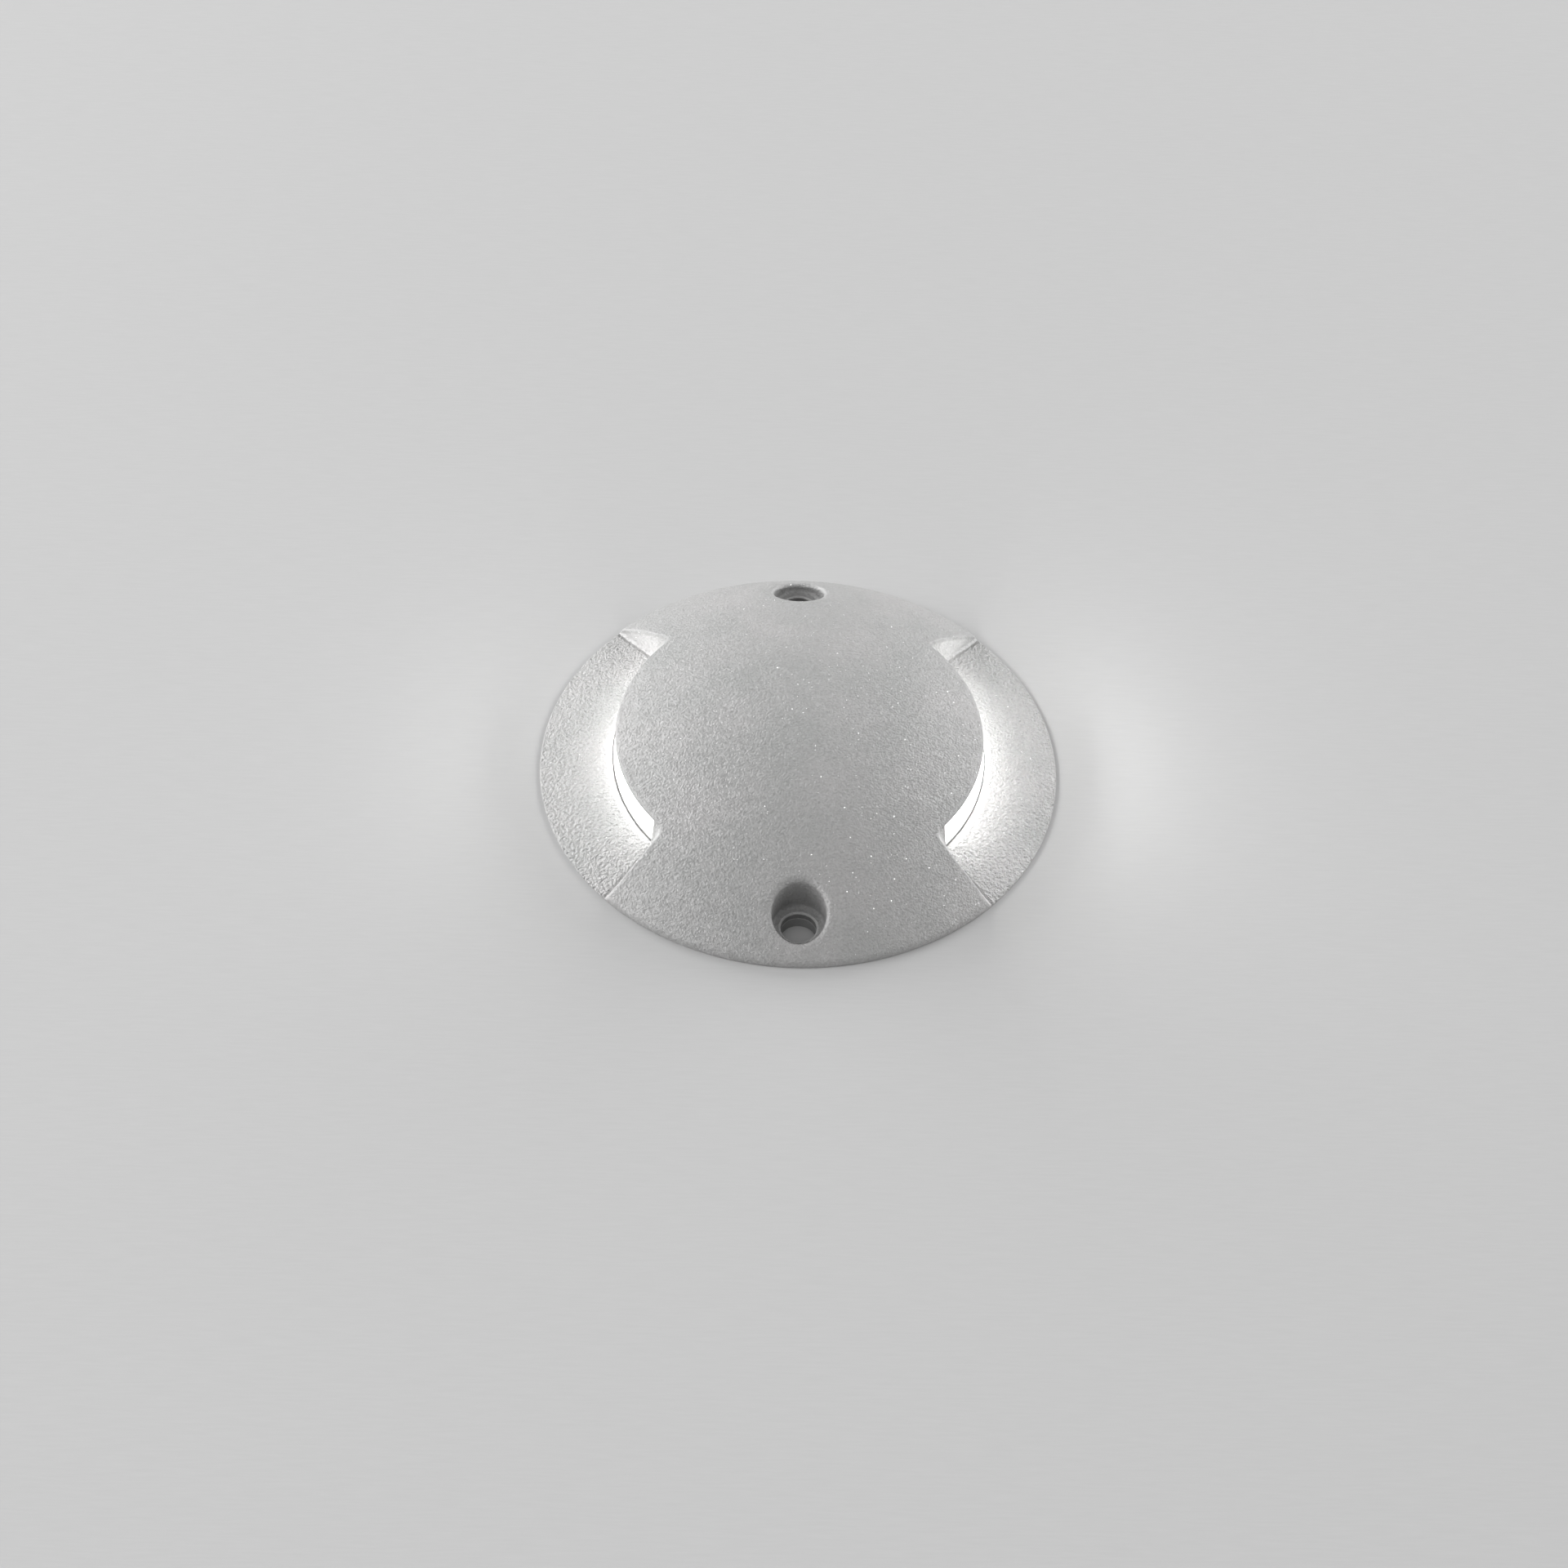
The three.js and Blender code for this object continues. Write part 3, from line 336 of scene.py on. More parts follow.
def core_field(x, y, r, dome):
    """A pocket cored into the underside beside a fixing hole."""
    ring = both(r - CORE_OUTER_RADIUS, CORE_INNER_RADIUS - r, INNER_ROUND)
    ends = both(-beyond_angle(x, y, CORE_START), beyond_angle(x, y, CORE_END), INNER_ROUND)
    return both(both(ring, ends, INNER_ROUND), dome + SHELL_WALL, INNER_ROUND)


def cover_field(x, y, z):
    """The whole casting. All four quarters are alike."""
    x, y = np.abs(x), np.abs(y)
    r = np.hypot(x, y)
    shell, dome = shell_field(r, z)
    boss, boss_hole = boss_field(x, y, z, dome)
    counterbore, hole = fixing_field(x, y, z)
    body = either(shell, boss, INNER_ROUND)
    body = less(body, pocket_field(x, y, r, z), EDGE_ROUND)
    body = less(body, opening_field(x, y, r, z), SMALL_ROUND)
    body = less(body, seam_field(x, y, r, z), SEAM_ROUND)
    body = less(body, counterbore, MOUTH_ROUND)
    body = less(body, hole, SMALL_ROUND)
    body = less(body, core_field(x, y, r, dome), SMALL_ROUND)
    return less(body, boss_hole)


def diffuser_field(x, y, z):
    """The window block, with the flange that holds it from behind. Both sides are alike."""
    x, y = np.abs(x), np.abs(y)
    r = np.hypot(x, y)
    face = r - wall_radius(z) + DIFFUSER_INSET
    height = both(z - DIFFUSER_TOP, DIFFUSER_BOTTOM - z)
    body = both(face, height, DIFFUSER_ROUND)
    body = both(body, beyond_angle(x, y, DIFFUSER_HALF_ANGLE), DIFFUSER_ROUND)
    flange = both(both(r - FLANGE_OUTER_RADIUS, z - FLANGE_TOP), FLANGE_BOTTOM - z)
    flange = both(flange, beyond_angle(x, y, FLANGE_HALF_ANGLE))
    return both(either(body, flange), FLANGE_INNER_RADIUS - r)


def countersunk(q, z, head_radius, shank_radius):
    """A head that narrows upwards to its shank, about its own axis."""
    narrowing = (head_radius - shank_radius) / SCREW_HEAD_HEIGHT
    up = z - SCREW_BOTTOM
    cone = (q - head_radius + narrowing * up) * math.cos(math.atan(narrowing))
    return np.maximum(np.minimum(cone, q - head_radius), up - SCREW_HEAD_HEIGHT)


def plate_field(x, y, z):
    """The disc that closes the underside, with its screw, gland and carrier holes."""
    x, y = np.abs(x), np.abs(y)
    r = np.hypot(x, y)
    flange = both(r - PLATE_RADIUS, z - PLATE_FLANGE_TOP, SMALL_ROUND)
    flange = both(flange, PLATE_BOTTOM - z, SMALL_ROUND)
    spigot = both(both(r - SPIGOT_RADIUS, z - PLATE_TOP, SMALL_ROUND), PLATE_BOTTOM - z)
    plate = either(flange, spigot, SMALL_ROUND)
    q = np.hypot(x - BOSS_PITCH * math.cos(BOSS_ANGLE), y - BOSS_PITCH * math.sin(BOSS_ANGLE))
    hole_radius = SCREW_RADIUS + SCREW_GAP
    head = countersunk(q, z, SCREW_HEAD_RADIUS + SCREW_GAP, hole_radius)
    plate = less(plate, np.minimum(head, q - hole_radius), SMALL_ROUND)
    seat_top = GLAND_FLANGE_TOP + PART_GAP
    gland_seat = both(r - GLAND_FLANGE_RADIUS - SCREW_GAP, z - seat_top, SMALL_ROUND)
    plate = less(plate, either(gland_seat, r - GLAND_HOLE_RADIUS, SMALL_ROUND), SMALL_ROUND)
    carrier_hole = np.hypot(x - CARRIER_SCREW_PITCH, y) - CARRIER_SCREW_HOLE
    return less(plate, both(carrier_hole, CARRIER_HOLE_BOTTOM - z))


def hexagon_field(x, y, half_flats):
    """An upright hexagonal prism about its own axis, a corner towards +X."""
    x, y = np.abs(x), np.abs(y)
    turn = math.pi / 6
    return np.maximum(y, x * math.cos(turn) + y * math.sin(turn)) - half_flats


def base_screw_field(x, y, z):
    """A countersunk screw with a hexagon socket in its head, about its own axis."""
    q = np.hypot(x, y)
    head = countersunk(q, z, SCREW_HEAD_RADIUS, SCREW_RADIUS)
    shank = both(q - SCREW_RADIUS, z - SCREW_TOP, SCREW_TIP)
    screw = both(either(head, shank, SMALL_ROUND), SCREW_BOTTOM - z, SMALL_ROUND)
    socket = both(hexagon_field(x, y, SCREW_SOCKET), z - SCREW_BOTTOM - SCREW_SOCKET)
    return less(screw, socket, SMALL_ROUND / 2)


def gland_body_field(x, y, z):
    """The inlet's body: a flange, a shank, and a stepped bore for its seal."""
    r = np.hypot(x, y)
    flange = both(r - GLAND_FLANGE_RADIUS, z - GLAND_FLANGE_TOP, SMALL_ROUND)
    flange = both(flange, GLAND_BOTTOM - z, GLAND_ROUND)
    shank = both(both(r - GLAND_SHANK_RADIUS, z - GLAND_TOP, GLAND_ROUND), GLAND_BOTTOM - z)
    seat = both(r - GLAND_SEAL_SEAT, z - GLAND_SEAL_TOP - PART_GAP, SMALL_ROUND)
    bore = either(seat, r - GLAND_BORE_RADIUS, SMALL_ROUND)
    return less(either(flange, shank, GLAND_ROUND), bore, SMALL_ROUND)


def gland_seal_field(x, y, z):
    """The rubber ring that grips the cable."""
    r = np.hypot(x, y)
    ring = both(r - GLAND_SEAL_SEAT + PART_GAP, GLAND_SEAL_BORE - r, SMALL_ROUND)
    ring = both(ring, z - GLAND_SEAL_TOP, SMALL_ROUND)
    return both(ring, GLAND_SEAL_BOTTOM - z, GLAND_SEAL_ROUND)


# Meshes from fields

# The four cells round a grid edge along each axis, as steps from the edge's first grid point
CELLS_ROUND_EDGE = {
    0: ((0, -1, -1), (0, 0, -1), (0, 0, 0), (0, -1, 0)),
    1: ((-1, 0, -1), (-1, 0, 0), (0, 0, 0), (0, 0, -1)),
    2: ((-1, -1, 0), (0, -1, 0), (0, 0, 0), (-1, 0, 0)),
}

# How points are moved onto the surface
NEWTON_STEPS = 4
SLOPE_PROBE = 0.01
LONGEST_MOVE = 0.2
LEAST_STEEPNESS = 0.25
LEAST_LENGTH = 1e-9


def steps(*runs):
    """Grid positions: each run is (start, end, step), and the last end is included."""
    parts = [np.linspace(a, b, max(1, round((b - a) / s)), endpoint=False) for a, b, s in runs]
    return np.concatenate([*parts, [runs[-1][1]]])


def angle_steps(*runs):
    """Angles of the first quarter turn in radians, from runs in degrees."""
    return np.radians(steps(*runs))


def mirrored_angles(quarter):
    """The angles of a quarter turn, 0 and 90 degrees included, carried round the circle."""
    half = np.concatenate([quarter, math.pi - quarter[-2:0:-1]])
    return np.concatenate([half, half + math.pi])


def quarter_index(count):
    """For each angle round the circle, the angle of the first quarter that it mirrors."""
    half = list(range(count)) + list(range(count - 2, 0, -1))
    return np.array(half + half)


def crossings(values, points, axis):
    """The grid edges along one axis on which the field changes its sign.

    Gives their first grid points, where the surface crosses them, and which start inside.
    """
    if axis == 1:
        next_values, next_points = np.roll(values, -1, axis=1), np.roll(points, -1, axis=1)
    else:
        ahead, behind = [slice(None)] * 3, [slice(None)] * 3
        ahead[axis], behind[axis] = slice(1, None), slice(None, -1)
        next_values, next_points = values[tuple(ahead)], points[tuple(ahead)]
        values, points = values[tuple(behind)], points[tuple(behind)]
    index = np.nonzero((values < 0) != (next_values < 0))
    start, end = values[index], next_values[index]
    share = (start / (start - end))[:, None]
    return index, points[index] * (1 - share) + next_points[index] * share, start < 0


def surface_net(field, radii, quarter, heights):
    """A mesh of quads on the field's zero surface, from a grid of radii, angles and heights.

    The field has to be the same in all four quarters. A cell that the surface passes through gets
    one point, the mean of its crossings, and a crossed edge joins the four cells round it. Where
    the surface crosses the axis itself, a fan of triangles closes it.
    """
    r, a, z = np.meshgrid(radii, quarter, heights, indexing="ij")
    values = field(r * np.cos(a), r * np.sin(a), z)[:, quarter_index(len(quarter)), :]
    r, a, z = np.meshgrid(radii, mirrored_angles(quarter), heights, indexing="ij")
    points = np.stack([r * np.cos(a), r * np.sin(a), z], axis=-1)
    cells, cell_count = values.shape, values.size
    around = cells[1]
    sums, counts = np.zeros((3, cell_count)), np.zeros(cell_count)
    quads, hubs = [], []
    for axis, neighbours in CELLS_ROUND_EDGE.items():
        (i, j, k), crossing, inside = crossings(values, points, axis)
        on_axis = (radii[i] == 0) & (axis == 2)
        ring = []
        for di, dj, dk in neighbours:
            place = (i + di, (j + dj) % around, k + dk)
            cell = np.ravel_multi_index(place, cells, mode="wrap")
            ring.append(cell)
            used = ~(on_axis & (di < 0))
            for row in range(3):
                sums[row] += np.bincount(cell[used], crossing[used, row], minlength=cell_count)
            counts += np.bincount(cell[used], minlength=cell_count)
        ring = np.stack(ring, axis=1)
        ring[~inside] = ring[~inside][:, ::-1]
        quads.append(ring[~on_axis])
        for level in np.unique(k[on_axis]):
            first = np.nonzero(on_axis & (k == level))[0][0]
            hubs.append((level, crossing[first], inside[first]))
    used = np.nonzero(counts)[0]
    number = np.full(cell_count, -1)
    number[used] = np.arange(len(used))
    places = (sums[:, used] / counts[used]).T
    fans = []
    for level, centre, faces_up in hubs:
        places = np.vstack([places, centre])
        rim = (np.zeros(around, int), np.arange(around), np.full(around, level))
        rim = number[np.ravel_multi_index(rim, cells)]
        spokes = np.stack([np.full(around, len(places) - 1), rim, np.roll(rim, -1)], axis=1)
        fans.append(spokes if faces_up else spokes[:, ::-1])
    return drawn_to_surface(field, places), number[np.concatenate(quads)], fans


def drawn_to_surface(field, places):
    """Moves points onto the field's zero surface along its slope."""
    probe = SLOPE_PROBE
    for _ in range(NEWTON_STEPS):
        x, y, z = places.T
        slope = np.stack([
            field(x + probe, y, z) - field(x - probe, y, z),
            field(x, y + probe, z) - field(x, y - probe, z),
            field(x, y, z + probe) - field(x, y, z - probe),
        ], axis=1) / (2 * probe)
        steepness = np.maximum((slope**2).sum(axis=1), LEAST_STEEPNESS)
        move = -(field(x, y, z) / steepness)[:, None] * slope
        length = np.maximum(np.linalg.norm(move, axis=1), LEAST_LENGTH)[:, None]
        places = places + move * np.minimum(1, LONGEST_MOVE / length)
    return places


def mesh_object(name, places, quads, fans=()):
    """A smooth-shaded piece from points in millimetres."""
    mesh = bpy.data.meshes.new(name)
    faces = quads.tolist() + [t for fan in fans for t in fan.tolist()]
    mesh.from_pydata((places * MM).tolist(), [], faces)
    mesh.update()
    mesh.shade_smooth()
    piece = bpy.data.objects.new(name, mesh)
    bpy.context.scene.collection.objects.link(piece)
    return piece


def part_of(places, quads, keep):
    """The part of a mesh whose points are kept."""
    number = np.full(len(places), -1)
    number[keep] = np.arange(keep.sum())
    return places[keep], number[quads[keep[quads].all(axis=1)]]


# Materials

class Nodes:
    """Short ways to add and join the nodes of one material."""

    def __init__(self, name):
        self.material = bpy.data.materials.new(name)
        self.material.use_nodes = True
        self.tree = self.material.node_tree
        self.shader = self.tree.nodes["Principled BSDF"]
        self.place = self.add("ShaderNodeTexCoord").outputs["Object"]

    def add(self, kind, inputs=(), **settings):
        """A new node with these settings and inputs."""
        node = self.tree.nodes.new(kind)
        for key, value in settings.items():
            setattr(node, key, value)
        for key, value in dict(inputs).items():
            self.feed(node.inputs[key], value)
        return node

    def feed(self, socket, value):
        """Joins a node's output to a socket, or sets a constant on it."""
        if isinstance(value, bpy.types.NodeSocket):
            self.tree.links.new(value, socket)
        else:
            socket.default_value = value

    def split_place(self):
        """The x, y and z of the point that is shaded, in metres."""
        return self.add("ShaderNodeSeparateXYZ", {0: self.place}).outputs

    def math(self, operation, a, b=0.0, c=0.0):
        """The result of a math node, such as a * b + c for MULTIPLY_ADD."""
        return self.add("ShaderNodeMath", {0: a, 1: b, 2: c}, operation=operation).outputs[0]

    def squares(self, a, b):
        """a squared plus b squared."""
        return self.math("ADD", self.math("MULTIPLY", a, a), self.math("MULTIPLY", b, b))

    def root(self, value):
        """The square root."""
        return self.math("SQRT", value)

    def noise(self, grain, detail=3.0, roughness=0.5, stretch=None):
        """Noise whose grain is about this many millimetres."""
        place = self.place
        if stretch:
            place = self.add("ShaderNodeMapping", {"Vector": place, "Scale": stretch}).outputs[0]
        inputs = {"Vector": place, "Scale": 1 / (grain * MM)}
        inputs.update({"Detail": detail, "Roughness": roughness})
        return self.add("ShaderNodeTexNoise", inputs).outputs["Fac"]

    def ramp(self, value, low, high, start, end):
        """Goes from low to high while the value goes from start to end, and stays there."""
        inputs = {"Value": value, "From Min": start, "From Max": end, "To Min": low, "To Max": high}
        return self.add("ShaderNodeMapRange", inputs).outputs[0]

    def ramp_mm(self, length, low, high, start, end):
        """The same, for a length in metres and its start and end in millimetres."""
        return self.ramp(length, low, high, start * MM, end * MM)

    def spread(self, noise, low, high):
        """A noise value carried from its middle range to another range."""
        return self.ramp(noise, low, high, *NOISE_MIDDLE)

    def mix(self, fac, a, b):
        """The colour a where the factor is 0, and b where it is 1."""
        node = self.add("ShaderNodeMix", data_type="RGBA")
        self.feed(node.inputs["Factor"], fac)
        self.feed(node.inputs["A"], a)
        self.feed(node.inputs["B"], b)
        return node.outputs["Result"]

    def scaled(self, color, factor):
        """A colour or vector times a number."""
        inputs = {"Vector": color, "Scale": factor}
        return self.add("ShaderNodeVectorMath", inputs, operation="SCALE").outputs["Vector"]

    def vector(self, operation, a, b=(0.0, 0.0, 0.0)):
        """The result of a vector math node."""
        return self.add("ShaderNodeVectorMath", {0: a, 1: b}, operation=operation).outputs[0]

    def grains(self, size):
        """Cells of this size in millimetres, and the random way in which each leans."""
        inputs = {"Vector": self.place, "Scale": 1 / (size * MM)}
        cells = self.add("ShaderNodeTexVoronoi", inputs)
        return cells, self.vector("SUBTRACT", cells.outputs["Color"], (0.5, 0.5, 0.5))

    def specks(self, cells, radius_share, rarity):
        """1 inside a round speck in the rarest cells, 0 elsewhere."""
        lot = self.add("ShaderNodeSeparateColor", {0: cells.outputs["Color"]}).outputs[0]
        near = self.math("LESS_THAN", cells.outputs["Distance"], radius_share)
        return self.math("MULTIPLY", near, self.math("GREATER_THAN", lot, rarity))

    def bump(self, height, distance, normal=None):
        """A bump of this many millimetres."""
        inputs = {"Height": height, "Distance": distance * MM}
        if normal:
            inputs["Normal"] = normal
        return self.add("ShaderNodeBump", inputs).outputs["Normal"]

    def set(self, **inputs):
        """Feeds the shader, whose sockets are named with _ for each space."""
        for key, value in inputs.items():
            self.feed(self.shader.inputs[key.replace("_", " ")], value)


NOISE_MIDDLE = (0.3, 0.7)
WHITE = (1, 1, 1, 1)
SLOT_COLORS = {m["slot"]: m["base_color"] for m in frame["record"]["materials"]}


def shade(color, factor):
    """The colour made lighter or darker."""
    return tuple(min(1.0, c * factor) for c in color[:3]) + (1.0,)


def tinted(color, tint):
    """The colour with each channel times its own factor."""
    return tuple(c * t for c, t in zip(color[:3], tint)) + (1.0,)


# The plain finishes: roughness, metallic, grain in mm, bump in mm, how far the colour varies, and
# whether the grain is brushed
PLAIN_FINISHES = {
    "base_metal": (0.38, 0.85, 0.4, 0.006, 0.06, True),
    "seal_rubber": (0.75, 0.0, 0.3, 0.01, 0.15, False),
    "screw_steel": (0.3, 0.95, 0.15, 0.003, 0.06, False),
    "gland_nylon": (0.55, 0.0, 0.3, 0.01, 0.1, False),
    "pale_silicone": (0.6, 0.0, 0.4, 0.01, 0.06, False),
    "carrier_metal": (0.42, 0.8, 0.3, 0.005, 0.06, True),
    "white_board": (0.45, 0.0, 0.4, 0.01, 0.03, False),
    "lead_sleeve": (0.5, 0.0, 0.3, 0.01, 0.06, False),
    "green_board": (0.4, 0.0, 0.5, 0.01, 0.12, False),
    "white_nylon": (0.55, 0.0, 0.3, 0.01, 0.06, False),
    "terminal_green": (0.5, 0.0, 0.3, 0.01, 0.08, False),
    "dark_ferrite": (0.6, 0.0, 0.15, 0.02, 0.2, False),
    "can_metal": (0.3, 0.9, 0.2, 0.003, 0.06, True),
    "black_epoxy": (0.5, 0.0, 0.12, 0.012, 0.15, False),
}
BROAD_GRAINS = 12
BROAD_WEIGHT = 0.5
ROUGHNESS_VARIES = 0.06
BRUSHED = (1, 12, 1)


def plain_finish(slot, roughness, metallic, grain, depth, tint, brushed):
    """Colour, roughness and bump that vary with one grain."""
    nodes = Nodes(slot)
    color = SLOT_COLORS[slot]
    broad = nodes.noise(grain * BROAD_GRAINS, detail=2)
    fine = nodes.noise(grain, stretch=BRUSHED if brushed else None)
    broad_tone = nodes.math("MULTIPLY", broad, BROAD_WEIGHT)
    tone = nodes.math("MULTIPLY_ADD", fine, 1 - BROAD_WEIGHT, c=broad_tone)
    tones = (shade(color, 1 - tint), shade(color, 1 + tint))
    nodes.set(
        Base_Color=nodes.mix(nodes.spread(tone, 0, 1), *tones),
        Roughness=nodes.spread(fine, roughness - ROUGHNESS_VARIES, roughness + ROUGHNESS_VARIES),
        Metallic=metallic,
        Normal=nodes.bump(fine, depth),
    )
    return nodes.material


# The casting's coat: painted light makes it paler over a pocket, painted shade darkens it in a
# fixing hole, and a painted highlight lies on the hole's chamfer. Blends are in mm.
POCKET_PAINTED_LIGHT = 1.22
BORE_PAINTED_SHADE = 0.78
HOLE_PAINTED_SHADE = 0.6
CHAMFER_PAINTED_HIGHLIGHT = 1.1
POCKET_DEPTH_BLEND = (0.9, 0.45)
POCKET_SIDE_BLEND = 0.2
POCKET_WALL_BLEND = 0.4
POCKET_FLOOR_SIDE_BLEND = (0.4, 1.0)
POCKET_FLOOR_WALL_BLEND = (0.2, 1.2)
BORE_BLEND = (0.05, 0.25)
HOLE_MARGIN = 0.02

# Its grain and flakes. Sizes and bumps are in mm.
FINE_GRAIN = 0.42
POCKET_FLOOR_GRAIN = 0.65
BROAD_GRAIN = 14
COAT_NOISE = {"detail": 2, "roughness": 0.6}
FACET_SIZE = 0.5
FACET_LEAN = 0.24
FLAKE_CELL = 0.55
FLAKE_SHARE = 0.15
FLAKE_RARITY = 0.84
FLAKE_LEAN = 0.9
FINE_BUMP = 0.24
POCKET_FLOOR_BUMP = 0.68
MOTTLE_FINE = 0.7
MOTTLE_DEPTH = 0.16
COAT_ROUGHNESS = (0.44, 0.58)
COAT_METALLIC = 0.2
FLAKE_ROUGHNESS = -0.3
FLAKE_METALLIC = 0.6
COAT_TINT_COOL = (0.995, 1.0, 1.0)
COAT_TINT_WARM = (1.012, 0.998, 1.004)


def cast_places(nodes):
    """A point's share of a pocket and of its floor, 0 to 1, and the painted shading of a fixing
    hole.
    """
    x, y, z = nodes.split_place()
    across = nodes.math("MULTIPLY", nodes.math("ABSOLUTE", y), math.cos(SIDE_ANGLE))
    outward = nodes.math("MULTIPLY", nodes.math("ABSOLUTE", x), math.sin(SIDE_ANGLE))
    side = nodes.math("ADD", nodes.math("SUBTRACT", outward, across), SIDE_START * MM)
    side = nodes.math("MULTIPLY_ADD", z, SIDE_RISE, c=side)
    square = nodes.squares(x, y)
    radius = nodes.root(square)
    rise = nodes.math("SUBTRACT", z, DOME_CENTRE * MM)
    reach = nodes.root(nodes.math("ADD", square, nodes.math("MULTIPLY", rise, rise)))

    # How far a point is in a pocket, which carries the pockets' painted light
    deep, shallow = POCKET_DEPTH_BLEND
    sunk = nodes.ramp_mm(reach, 1, 0, DOME_RADIUS - deep, DOME_RADIUS - shallow)
    beside = nodes.ramp_mm(side, 0, 1, -POCKET_SIDE_BLEND, 0)
    wall_start = POCKET_TOP_RADIUS - POCKET_WALL_BLEND
    past_wall = nodes.ramp_mm(radius, 0, 1, wall_start, POCKET_TOP_RADIUS)
    pocket = nodes.math("MULTIPLY", nodes.math("MULTIPLY", sunk, beside), past_wall)
    foot = [POCKET_FOOT_RADIUS + blend for blend in POCKET_FLOOR_WALL_BLEND]
    off_side = nodes.ramp_mm(side, 0, 1, *POCKET_FLOOR_SIDE_BLEND)
    on_floor = nodes.math("MULTIPLY", off_side, nodes.ramp_mm(radius, 0, 1, *foot))

    # Painted shade in the counterbore and its hole, with a painted highlight on the hole's chamfer
    from_hole = nodes.math("SUBTRACT", nodes.math("ABSOLUTE", y), FIXING_PITCH * MM)
    from_hole = nodes.root(nodes.squares(from_hole, x))
    wall = [COUNTERBORE_TOP_RADIUS + blend for blend in BORE_BLEND]
    mouth = (DOME_RADIUS - MOUTH_ROUND, DOME_RADIUS - MOUTH_ROUND / 2)
    below_mouth = nodes.ramp_mm(reach, 1, 0, *mouth)
    in_bore = nodes.math("MULTIPLY", nodes.ramp_mm(from_hole, 1, 0, *wall), below_mouth)
    hole_reach = FIXING_HOLE_RADIUS + HOLE_MARGIN
    edge_reach = FIXING_HOLE_RADIUS + FIXING_CHAMFER + SMALL_ROUND
    in_hole = nodes.math("LESS_THAN", from_hole, hole_reach * MM)
    on_edge = nodes.math("LESS_THAN", from_hole, edge_reach * MM)
    tone = nodes.math("MULTIPLY_ADD", in_bore, BORE_PAINTED_SHADE - 1, c=1.0)
    # A painted highlight on the chamfer round the hole through the ledge
    tone = nodes.math("MULTIPLY_ADD", on_edge, CHAMFER_PAINTED_HIGHLIGHT - BORE_PAINTED_SHADE, c=tone)
    tone = nodes.math("MULTIPLY_ADD", in_hole, HOLE_PAINTED_SHADE - CHAMFER_PAINTED_HIGHLIGHT, c=tone)
    return pocket, on_floor, tone


def cast_finish():
    """Powder coat with a fine grain and metallic flakes.

    Painted light makes it paler in the pockets, and it is coarser on their floors. Painted shade
    makes it darker in the fixing holes, with a painted highlight on the chamfer of each hole.
    """
    nodes = Nodes("cast_body")
    color = SLOT_COLORS["cast_body"]
    pocket, on_floor, hole_painted_shading = cast_places(nodes)
    fine = nodes.noise(FINE_GRAIN, **COAT_NOISE)
    coarse = nodes.noise(POCKET_FLOOR_GRAIN, **COAT_NOISE)
    broad = nodes.noise(BROAD_GRAIN, detail=2)
    _, facet_lean = nodes.grains(FACET_SIZE)
    flake_cells, flake_lean = nodes.grains(FLAKE_CELL)
    flakes = nodes.specks(flake_cells, FLAKE_SHARE, FLAKE_RARITY)

    broad_part = nodes.math("MULTIPLY", broad, 1 - MOTTLE_FINE)
    mottle = nodes.math("MULTIPLY_ADD", fine, MOTTLE_FINE, c=broad_part)
    mottle = nodes.spread(mottle, 1 - MOTTLE_DEPTH, 1 + MOTTLE_DEPTH)
    cool, warm = tinted(color, COAT_TINT_COOL), tinted(color, COAT_TINT_WARM)
    body = nodes.mix(nodes.spread(broad, 0, 1), cool, warm)
    # Painted shade and highlight at the fixing holes, and painted light in the pockets
    body = nodes.scaled(body, nodes.math("MULTIPLY", mottle, hole_painted_shading))
    body = nodes.scaled(body, nodes.math("MULTIPLY_ADD", pocket, POCKET_PAINTED_LIGHT - 1, c=1.0))

    facing = nodes.add("ShaderNodeNewGeometry").outputs["Normal"]
    facing = nodes.vector("ADD", facing, nodes.scaled(facet_lean, FACET_LEAN))
    flake_lean = nodes.scaled(flake_lean, nodes.math("MULTIPLY", flakes, FLAKE_LEAN))
    facing = nodes.vector("NORMALIZE", nodes.vector("ADD", facing, flake_lean))
    skin = nodes.bump(fine, FINE_BUMP, normal=facing)
    skin = nodes.bump(nodes.math("MULTIPLY", coarse, on_floor), POCKET_FLOOR_BUMP, normal=skin)
    roughness = nodes.spread(fine, *COAT_ROUGHNESS)
    nodes.set(
        Base_Color=nodes.mix(flakes, body, WHITE),
        Roughness=nodes.math("MULTIPLY_ADD", flakes, FLAKE_ROUGHNESS, c=roughness),
        Metallic=nodes.math("MULTIPLY_ADD", flakes, FLAKE_METALLIC, c=COAT_METALLIC),
        Normal=skin,
    )
    return nodes.material


# The windows' brightness at their foot and at their top
WINDOW_GLOW = {"right": (1.9, 12.5), "left": (2.6, 6.0)}
WINDOW_LIGHT = (1.0, 0.99, 0.975, 1)
WINDOW_FACE_BLEND = (0.12, 0.04)
WINDOW_FROST = 0.3
WINDOW_FROST_BUMP = 0.01
WINDOW_ROUGHNESS = (0.4, 0.55)
WINDOW_TONES = (0.96, 1.02)


